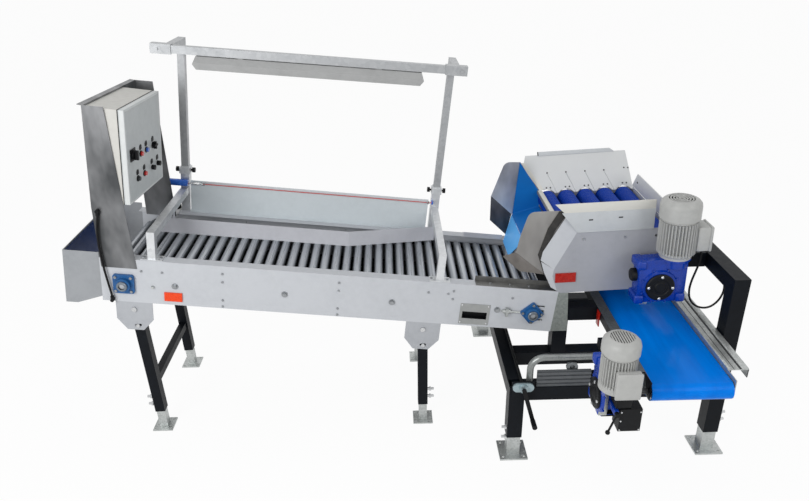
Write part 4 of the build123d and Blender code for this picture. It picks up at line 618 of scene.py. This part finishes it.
# The angle strip's side leg is painted grey-brown as painted shade
strip_shade = powder_coat("strip_side_painted_shade", "8E8A84", "7C7872", 0.5, shine=0.3)
mount_piece("strip_side", [(strip_leg, rear_lean @ shift(0, 0, -0.019)), (ledge_leg, cleaner_frame)],
            strip_shade)
end_board = cut_plate([(0.003, 0.061), (0.686, 0.061), (0.612, 0.157), (0.003, 0.157)], board_thick, 0.0012)
end_place = cleaner_frame @ shift(0.514, 0, 0) @ turn(90, "Z") @ along_y
mount_piece("end_board", [(end_board, end_place)], board_grey)
bolt_spots = [(spiral_step * i + 0.010 + d, 0.012 + 0.0015 * i) for i in range(5) for d in (-0.012, 0.012)]
bolt_spots += [(0.05775 + spiral_step * i - slit_lean, 0.108) for i in range(4)]
bolt_spots += [(0.482, 0.117), (0.506, 0.115)]
board_head = [(0.0, 0.0), (0.0048, 0.0), (0.0044, 0.0022), (0.0024, 0.0034), (0.0, 0.0036)]
board_bolts = [(turned(board_head, 16), rear_lean @ shift(s, l, 0)) for s, l in bolt_spots]
end_bolt = turned([(0.0, 0.0), (0.006, 0.0), (0.005, 0.003), (0.0, 0.004)], 16)
board_bolts.append((end_bolt, cleaner_frame @ shift(0.514, 0.600, 0.108) @ turn(-90, "Y")))
board_bolts.append((slab((-0.0352, 0.221, 0.0030), (-0.029, 0.246, 0.0046)), rear_lean))
# Dark steel for bolts and the drum's end, also used as painted shadow in the rail's grooves
dark_steel_and_shadow = galvanised("blackened_steel_and_groove_shadow", "3A3B3D", "26272A", 0.45, crystal=0.004, metal=0.4)
mount_piece("board_bolts", board_bolts, dark_steel_and_shadow)

# Spiral rollers
# Moulded polyurethane sleeves with 30 low ribs that wind once round in 350 mm, on steel axles.
# The ribs are painted bright blue and the grooves between them painted dark as painted shade.
ribs, rib_lead, groove_depth = 30, 0.350, 0.05
sleeve_radius, sleeve_length, rows = 0.055, 0.647, 180
spiral_blue, tree, shader, place = blank("polyurethane_spiral_blue")
# The groove attribute darkens the valleys as painted shade
depth = put(tree, "Attribute", None, "Fac", attribute_name="groove")
tint = put(tree, "MixRGB", {"Fac": depth, "Color1": linear("0A48BE"), "Color2": linear("03195C")})
rub = put(tree, "TexNoise", {"Vector": place, "Scale": 1 / 0.03, "Detail": 4.0, "Roughness": 0.6})
sheen = put(tree, "MapRange", {"Value": rub, "From Min": 0.3, "From Max": 0.7, "To Min": 0.32,
                               "To Max": 0.46})
wire(tree, shader, {"Base Color": tint, "Roughness": sheen, "IOR": 1.5, "Specular IOR Level": 0.14})
for number in range(1, 6):
    node = "spiral_roller_" + str(number)
    lo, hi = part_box(node)
    wall = [(sleeve_radius, sleeve_length * row / rows) for row in range(rows + 1)]
    sleeve = turned([(0.0, 0.0)] + wall + [(0.0, sleeve_length)], 150)
    groove = sleeve.verts.layers.float.new("groove")
    for vert in sleeve.verts:
        angle = math.atan2(vert.co.y, vert.co.x)
        vert[groove] = 0.5 - 0.5 * math.cos(ribs * (angle + vert.co.z / rib_lead * 2 * math.pi))
        vert.co.xy *= 1 - groove_depth * vert[groove]
    axle = turned([(0, -0.0165), (0.0125, -0.0165), (0.0125, 0.685), (0, 0.685)], 24)
    spot = shift((lo.x + hi.x) / 2, hi.y - 0.0175, (lo.z + hi.z) / 2) @ along_y
    mount_piece(node + "_sleeve", [(sleeve, spot), (axle, spot)], spiral_blue, node, (node,))

# Waste belt, rails and drums
# A smooth blue PVC belt runs endless over two steel drums between galvanised rails with dark outer sides.
# Faint streaks about 55 mm wide along it are partly soil and partly painted reflection, and it lies in soft
# waves 90 mm long.
belt_blue, tree, shader, place = blank("smooth_pvc_belt")
drag = put(tree, "Mapping", {"Vector": place, "Scale": (9.0, 0.8, 9.0)})
# The streaks are partly soil and partly painted reflection
marks_and_reflection_streaks = put(tree, "TexNoise", {"Vector": drag, "Scale": 1 / 0.5, "Detail": 5.0, "Roughness": 0.6})
tint = put(tree, "MixRGB", {"Fac": marks_and_reflection_streaks, "Color1": linear("0090FF"), "Color2": linear("0064D0")})
sheen = put(tree, "MapRange", {"Value": marks_and_reflection_streaks, "From Min": 0.3, "From Max": 0.7, "To Min": 0.10,
                               "To Max": 0.24})
waves = put(tree, "TexNoise", {"Vector": place, "Scale": 1 / 0.09, "Detail": 2.0})
bump = put(tree, "Bump", {"Height": waves, "Strength": 0.12, "Distance": 0.003})
wire(tree, shader, {"Base Color": tint, "Roughness": sheen, "Normal": bump, "IOR": 1.53,
                    "Specular IOR Level": 0.07})
belt_lo, belt_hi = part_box("waste_belt")
belt_radius = (belt_hi.z - belt_lo.z) / 2
belt_height = (belt_lo.z + belt_hi.z) / 2
rounded_edge, belt_thick = 0.002, 0.006
here = Matrix()
belt = bmesh.new()
bmesh.ops.create_circle(belt, cap_ends=False, radius=belt_radius, segments=64)
bmesh.ops.rotate(belt, cent=(0, 0, 0), matrix=Matrix.Rotation(math.radians(90), 3, "Y"), verts=belt.verts)
bmesh.ops.translate(belt, vec=(belt_lo.x, belt_lo.y + belt_radius, belt_height), verts=belt.verts)
far_half = [v for v in belt.verts if v.co.y > belt_lo.y + belt_radius - 1e-6]
bmesh.ops.translate(belt, vec=(0, belt_hi.y - belt_lo.y - 2 * belt_radius, 0), verts=far_half)
around = list(belt.edges)
for reach in (rounded_edge, belt_hi.x - belt_lo.x - 2 * rounded_edge, rounded_edge):
    grown = bmesh.ops.extrude_edge_only(belt, edges=around)["geom"]
    new_verts = [v for v in grown if isinstance(v, bmesh.types.BMVert)]
    bmesh.ops.translate(belt, vec=(reach, 0, 0), verts=new_verts)
    fresh = set(new_verts)
    around = [e for e in grown if isinstance(e, bmesh.types.BMEdge) and all(v in fresh for v in e.verts)]
bmesh.ops.recalc_face_normals(belt, faces=belt.faces)
bmesh.ops.solidify(belt, geom=list(belt.faces), thickness=belt_thick)
mount_piece("endless_belt", [(belt, here)], belt_blue, stands_for=("waste_belt",))
rail_lo, rail_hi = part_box("belt_rails")
left_side, right_side = rail_lo.x + 0.003, rail_hi.x - 0.003
painted_shade_until = belt_lo.y + 0.12
shaded_zinc = galvanised("shaded_zinc", "7A7F80", "4A4F50", 0.42)
paint("belt_rails", zinc)
paint("belt_rails", anthracite_and_shade, lambda spot: spot.x < left_side or spot.x > right_side)
# The left rail's inner side is painted dark as painted shade: anthracite for its first 120 mm, shaded zinc
# behind
paint("belt_rails", anthracite_and_shade, lambda spot: spot.x < belt_lo.x and spot.y < painted_shade_until)
paint("belt_rails", shaded_zinc, lambda spot: left_side < spot.x < belt_lo.x and spot.y >= painted_shade_until)
# The right rail's upper side: a raised outer lip, a groove with two dark bars as painted shadow, and a
# rounded inner lip
right_rail = [v.co.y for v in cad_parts["belt_rails"].data.vertices if v.co.x > rail_hi.x - 0.01]
rail_front, rail_back = min(right_rail) + 0.002, max(right_rail) - 0.002


def along_rail(near, far, low, high, soften=0.0):
    # A bar the length of the right rail: near and far from its outer side, low and high from its top
    first = (rail_hi.x + near, rail_front, rail_hi.z + low)
    second = (rail_hi.x + far, rail_back, rail_hi.z + high)
    return slab(first, second, soften)


lips = [(along_rail(near, far, -0.002, high, 0.0018), here)
        for near, far, high in ((-0.034, -0.001, 0.005), (-0.103, -0.090, 0.009))]
mount_piece("rail_lips", lips, zinc)
groove_shadows = [(along_rail(near, far, -0.001, 0.0006), here)
           for near, far in ((-0.043, -0.035), (-0.070, -0.067))]
mount_piece("rail_groove_shadows", groove_shadows, dark_steel_and_shadow)
paint("drive_drum", bright_steel)
paint("drive_drum", dark_steel_and_shadow, lambda spot: spot.x < belt_lo.x)
paint("tail_drum", bright_steel)
lens = slab((rail_lo.x - 0.006, -0.152, 0.645), (rail_lo.x, -0.106, 0.731), 0.002)
mount_piece("rail_reflector", [(lens, here)], reflector_deep)


# Crank, lever and plastic fittings
# Black moulded grips, ribbed guard, terminal box and glands; the guard is a weathered dark grey.
def on_guard(spot):
    x, y, z = to_floor @ spot
    return 2.25 < x < 2.55 and -0.310 < y < -0.285 and 0.449 < z < 0.55


for node in ("crank", "lock_lever", "plastic_fittings"):
    paint(node, black_plastic)
paint("plastic_fittings", moulded("guard_dark_grey", "55585B", "6A6D70", 0.45, shine=0.35), on_guard)

# Gear motors
# Worm gear units in glossy blue enamel with black covers, and ribbed aluminium motors painted light grey.
# The belt's unit is cut away in front for a black switch box, and a lug carries its lock lever.
motor_grey = powder_coat("motor_paint_light_grey", "B4B5B3", "A3A4A2", 0.42, shine=0.4, peel=0.004)
gear_blue = powder_coat("gear_unit_blue_enamel", "063CA8", "052C80", 0.26, shine=0.4, peel=0.005)
motor_axis = 0.080


def finned_tube(radius, length):
    # A cast motor body with 36 fins
    fins = bmesh.new()
    bmesh.ops.create_circle(fins, cap_ends=True, radius=radius * 0.82, segments=144)
    for i, vert in enumerate(fins.verts):
        if i % 4 in (0, 1):
            vert.co *= 1.2
    made = bmesh.ops.extrude_face_region(fins, geom=list(fins.faces))["geom"]
    top = [v for v in made if isinstance(v, bmesh.types.BMVert)]
    bmesh.ops.translate(fins, vec=(0, 0, length), verts=top)
    return fins


def fan_grille(hole, round_bars):
    # Rings on six spokes, or nine straight bars, across the hole in the cowl
    bars = []
    if round_bars:
        for share in (0.86, 0.64, 0.42, 0.2):
            inside, outside = hole * share - 0.0032, hole * share + 0.0032
            bars.append((turned([(inside, -0.007), (outside, -0.007), (outside, -0.001), (inside, -0.001),
                                 (inside, -0.007)], 40), here))
        for step in range(6):
            bars.append((slab((0.006, -0.002, -0.008), (hole + 0.002, 0.002, -0.002)), turn(60 * step, "Z")))
        return bars
    for i in range(-4, 5):
        y = i * hole / 4.7
        reach = math.sqrt(hole ** 2 - y ** 2)
        bars.append((slab((-reach, y - 0.003, -0.008), (reach, y + 0.003, -0.001), 0.001), here))
    return bars


def gear_motor(name, where, start, radius, length, cowl, terminal, side, upright, front=0.138, low=0.036,
               housing=gear_blue, stands_for=()):
    # start, radius, length and cowl shape the motor, terminal, side and low its box; front ends the housing
    # The housing, with corner lugs and a rim for the cover
    seat = min(start, 0.145)
    inner = 0.078 - max(radius, 0.078)
    outline = [(-0.080, -0.094), (min(front, 0.092), -0.094), (front, min(-0.050, front - 0.142)),
               (front, seat), (inner, seat), (-0.084, 0.143), (-0.110, 0.112), (-0.110, -0.050)]
    case = [(cut_plate(outline, 0.084, 0.006), shift(0, 0.042, 0) @ along_y)]
    for x, z in ((-0.098, -0.072), (min(front - 0.024, 0.114), -0.072), (-0.098, 0.120)):
        case.append((slab((x - 0.024, -0.054, z - 0.024), (x + 0.024, 0.054, z + 0.024), 0.010, 3), here))
    cover_rim = turned([(0.068, 0.0), (0.090, 0.0), (0.084, 0.013), (0.068, 0.013)], 48)
    case.append((cover_rim, shift(0, -0.042, 0) @ along_y))
    for step in range(8):
        rib = slab((0.086, -0.050, -0.004), (0.100, -0.040, 0.004), 0.002)
        case.append((rib, turn(45 * step + 22.5, "Y")))
    # A collar under the motor's flange, or a black block that stands on the switch box
    cover = []
    if upright:
        collar = turned([(0.0, start - 0.05), (0.066, start - 0.05), (0.066, start - 0.014),
                         (0.078, start - 0.012), (0.078, start), (0.0, start)], 48)
        case.append((collar, shift(motor_axis, 0, 0)))
    else:
        cover.append((slab((front + 0.001, -0.006, 0.006), (0.132, 0.066, start), 0.005, 3), here))
    mount_piece(name + "_gearbox", case, housing, stands_for=stands_for, base=where)
    # The black cover and a plug over the free end of the worm
    disc = turned([(0.0, 0.0), (0.073, 0.0), (0.073, 0.008), (0.068, 0.012), (0.046, 0.012), (0.043, 0.009),
                   (0.030, 0.009), (0.027, 0.012), (0.0, 0.012)], 48)
    plug = turned([(0.0, 0.0), (0.034, 0.0), (0.034, 0.022), (0.028, 0.028), (0.0, 0.028)], 32)
    cover += [(disc, shift(0, -0.055, 0) @ along_y), (plug, shift(-0.109, 0, 0.052) @ turn(-90, "Y"))]
    mount_piece(name + "_cover", cover, black_plastic, base=where)
    # The motor: flange, finned body, cowl with its grille, terminal box
    axis = shift(motor_axis, 0, start)
    crown = axis @ shift(0, 0, length + cowl)
    neck, wide = radius * 0.9, radius + 0.004
    hole = wide * 0.62
    flange = turned([(0.0, 0.0), (0.078, 0.0), (0.078, 0.012), (neck, 0.022), (neck, 0.034),
                     (0.0, 0.034)], 48)
    hood = turned([(0.0, -cowl - 0.012), (neck, -cowl - 0.012), (neck, -cowl), (wide, 0.003 - cowl),
                   (wide, -0.034), (wide - 0.004, -0.018), (wide - 0.014, -0.007), (wide - 0.026, -0.001),
                   (hole + 0.004, 0.0), (hole, 0.0), (hole, -0.011), (0.0, -0.011)], 56)
    near, base = motor_axis + radius, start + low
    lid = near + terminal
    tray = slab((near - 0.014, side - 0.054, base + 0.002), (lid - 0.012, side + 0.054, base + 0.130),
                0.008, 3)
    cap = slab((lid - 0.014, side - 0.056, base), (lid, side + 0.056, base + 0.132), 0.006, 3)
    body = [(flange, axis), (finned_tube(radius, length - 0.038), axis @ shift(0, 0, 0.026)), (hood, crown)]
    body += [(bar, crown @ place) for bar, place in fan_grille(hole, upright)] + [(tray, here), (cap, here)]
    mount_piece(name + "_motor", body, motor_grey, base=where)
    # Dark fan under the grille, and bright bolts on the cover
    rim = hole - 0.0005
    fan = turned([(0.0, -0.0108), (rim, -0.0108), (rim, -0.0095), (0.0, -0.0095)], 40)
    mount_piece(name + "_fan", [(fan, crown)], black_plastic, base=where)
    bolts = []
    for step in range(4):
        angle = math.radians(90 * step - 3)
        head = turned([(0.0, 0.0), (0.0075, 0.0), (0.0075, 0.004), (0.005, 0.006), (0.0, 0.006)], 16)
        bolts.append((head, shift(0.061 * math.cos(angle), -0.067, 0.061 * math.sin(angle)) @ along_y))
    mount_piece(name + "_bolts", bolts, bright_steel, base=where)


upper_spot = floor_frame @ shift(axle_x + 0.406, -0.110, axle_z - 0.160)
upper = upper_spot @ turn(cleaner_rise, "Y")
lower_spot = floor_frame @ shift(axle_x + 0.029, -0.655, 0.66997)
lower = lower_spot @ turn(-90, "Z")
mirror = Matrix.Scale(-1, 4, (0, 1, 0))
behind_table = table_frame @ shift(first_roller, 0.807, shaft_height) @ turn(90, "Y") @ mirror
gear_motor("cleaner_drive", upper, 0.148, 0.095, 0.210, 0.100, 0.062, 0.0, True, stands_for=("gear_motors",))
gear_motor("belt_drive", lower, 0.090, 0.080, 0.184, 0.076, 0.026, 0.020, False, front=0.051, low=0.002)
gear_motor("table_drive", behind_table, 0.148, 0.070, 0.210, 0.100, 0.076, 0.0, True, housing=motor_grey)
spacer = turned([(0.0, 0.0), (0.045, 0.0), (0.045, 0.052), (0.0, 0.052)], 32)
lug = slab((-0.012, -0.137, -0.025), (0.008, -0.052, 0.001), 0.002)
mount_piece("drive_spacer", [(spacer, upper_spot @ shift(0, 0.107, 0) @ along_y), (lug, lower_spot)],
            gear_blue)
braces = [(slab((0.050, -0.052, -0.088), (0.056, -0.014, 0.066), 0.0015), lower),
          (slab((-0.086, -0.030, -0.112), (-0.046, 0.030, -0.090), 0.004), upper),
          (slab((-0.046, -0.024, -0.104), (0.010, 0.024, -0.094), 0.003), upper)]
mount_piece("gear_braces", braces, zinc)
box_head = [(0.0, 0.0), (0.0045, 0.0), (0.0038, 0.0025), (0.0, 0.003)]
box_screws = [(turned(box_head, 16), lower_spot @ shift(x, -0.135, z) @ along_y) for x, z in (
    (0.022, -0.010), (0.108, -0.010), (0.022, -0.107), (0.108, -0.107), (0.022, -0.058))]
mount_piece("switch_box_screws", box_screws, bright_steel)

# Cables
# Black rubber-sheathed control cables 11 mm across, from gland to gland.
cable_black = moulded("black_cable_sheath", "0A0A0B", "151617", 0.5, shine=0.2)
cable_width = 0.011


def cable(name, points, node):
    curve = bpy.data.curves.new(name, "CURVE")
    curve.dimensions = "3D"
    curve.bevel_depth = cable_width / 2
    curve.bevel_resolution = 4
    curve.resolution_u = 12
    curve.use_fill_caps = True
    spline = curve.splines.new("NURBS")
    spline.points.add(len(points) - 1)
    for point, spot in zip(spline.points, points):
        point.co = (*spot, 1.0)
    spline.order_u = 3
    spline.use_endpoint_u = True
    curve.materials.append(cable_black)
    lead = bpy.data.objects.new(name, curve)
    bpy.context.scene.collection.objects.link(lead)
    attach(lead, "table")
    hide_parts(node)


# Routes in millimetres: the first in the table's plane, the second from its two glands
cabinet_route = [table_frame @ Vector((u / 1000, -0.016, w / 1000)) for u, w in (
    (20, 490), (14, 452), (10, 398), (11, 340), (16, 282), (23, 224), (32, 166), (42, 112), (51, 68),
    (56, 36))]
cable("cabinet_lead", [tuple(p) for p in cabinet_route], "cabinet_cable")
motor_gland = upper @ Vector((0.213, 0, 0.166))
arch_gland = floor_frame @ Vector((3.24732, -0.050, 0.94997))
motor_route = [motor_gland + Vector(step) / 1000 for step in (
    (0, 0, 0), (4, 1, -54), (-8, 2, -114), (-22, 3, -174), (-26, 4, -232), (-12, 6, -286), (24, 9, -326),
    (74, 13, -344))]
motor_route += [arch_gland + Vector(step) / 1000 for step in (
    (-27, -20, -182), (11, -14, -145), (29, -8, -95), (23, -4, -45), (0, 0, 0))]
cable("motor_lead", [tuple(p) for p in motor_route], "motor_cable")

# Fasteners
# Zinc-plated hexagon and dome heads, and pairs of bolts that pinch the feet in their tubes.
paint("fasteners", galvanised("zinc_plated_bolt", "A6A9AC", "5E6164", 0.28, crystal=0.004, metal=0.9))
hexagon_bolt = [(0.0, 0.0), (0.014, 0.0), (0.014, 0.010), (0.0085, 0.011), (0.0085, 0.026), (0.0, 0.028)]
for name, body, x, y, facing, heights in (
        ("post_bolts_right", "table", 3.2623, -0.288, 90, (0.245, 0.199)),
        ("post_bolts_left", "table", 2.1203, -0.288, -90, (0.183, 0.118)),
        ("left_leg_bolts", "left_legs", 0.1392, 0.0338, -90, (0.156, 0.206)),
        ("middle_leg_bolts", "middle_leg_front", 1.7234, 0.0338, 90, (0.157, 0.207))):
    pinch_bolts = [(turned(hexagon_bolt, 6), floor_frame @ shift(x, y, z) @ turn(facing, "Y"))
                   for z in heights]
    mount_piece(name, pinch_bolts, bright_steel, body)

# Camera at the photograph's height and angle
eye = bpy.data.cameras.new("eye")
eye.lens = 30.723
eye.sensor_width = 36.0
eye.clip_end = 200.0
camera = bpy.data.objects.new("camera", eye)
camera.location = (-0.02336, -3.3247, 2.6198)
camera.rotation_euler = [math.radians(a) for a in (64.8189, 0.7701, -1.4883)]
bpy.context.scene.collection.objects.link(camera)
bpy.context.scene.camera = camera


# Pale floor and soft studio light
# A white sweep under and behind the object. It shows as white to the eye and keeps the object's soft shadow.
def seen_by_eye(tree, least, most):
    # The light path's share for rays from the camera, mirrors and glass
    seen = put(tree, "LightPath", None, "Is Camera Ray")
    for kind in ("Is Glossy Ray", "Is Transmission Ray"):
        seen = put(tree, "Math", {0: seen, 1: put(tree, "LightPath", None, kind)}, operation="MAXIMUM")
    return put(tree, "MapRange", {"Value": seen, "To Min": least, "To Max": most})


floor_pale, tree, shader, place = blank("studio_floor")
wire(tree, shader, {"Base Color": linear("F1F1F0"), "Roughness": 0.9})
white = put(tree, "Emission", {"Color": (1, 1, 1, 1), "Strength": 1.0})
sweep = put(tree, "MixShader", {"Fac": seen_by_eye(tree, 0.0, 0.95), 1: shader.outputs[0], 2: white})
wire(tree, tree.nodes["Material Output"], {"Surface": sweep})
bm = bmesh.new()
bmesh.ops.create_grid(bm, x_segments=1, y_segments=1, size=60.0)
mesh = bpy.data.meshes.new("studio_floor")
bm.to_mesh(mesh)
bm.free()
mesh.materials.append(floor_pale)
floor = bpy.data.objects.new("studio_floor", mesh)
floor.location.z = -0.0005
bpy.context.scene.collection.objects.link(floor)
world = bpy.data.worlds.new("studio")
world.use_nodes = True
bpy.context.scene.world = world
tree = world.node_tree
wire(tree, tree.nodes["Background"], {"Color": (1, 1, 1, 1), "Strength": seen_by_eye(tree, 0.42, 1.0)})
middle_of_table = Vector((0.1, 0.1, 0.8))
for name, spot, size, power in (("key_light", (-2.6, -3.8, 2.9), 2.6, 130.0),
                                ("fill_light", (3.2, -3.0, 3.0), 2.2, 35.0),
                                ("top_light", (0.4, 1.2, 4.6), 3.0, 30.0)):
    lamp = bpy.data.lights.new(name, "AREA")
    lamp.size = size
    lamp.energy = power
    light = bpy.data.objects.new(name, lamp)
    light.location = spot
    light.rotation_euler = (middle_of_table - Vector(spot)).to_track_quat("-Z", "Y").to_euler()
    bpy.context.scene.collection.objects.link(light)
bpy.context.scene.view_settings.view_transform = "Standard"
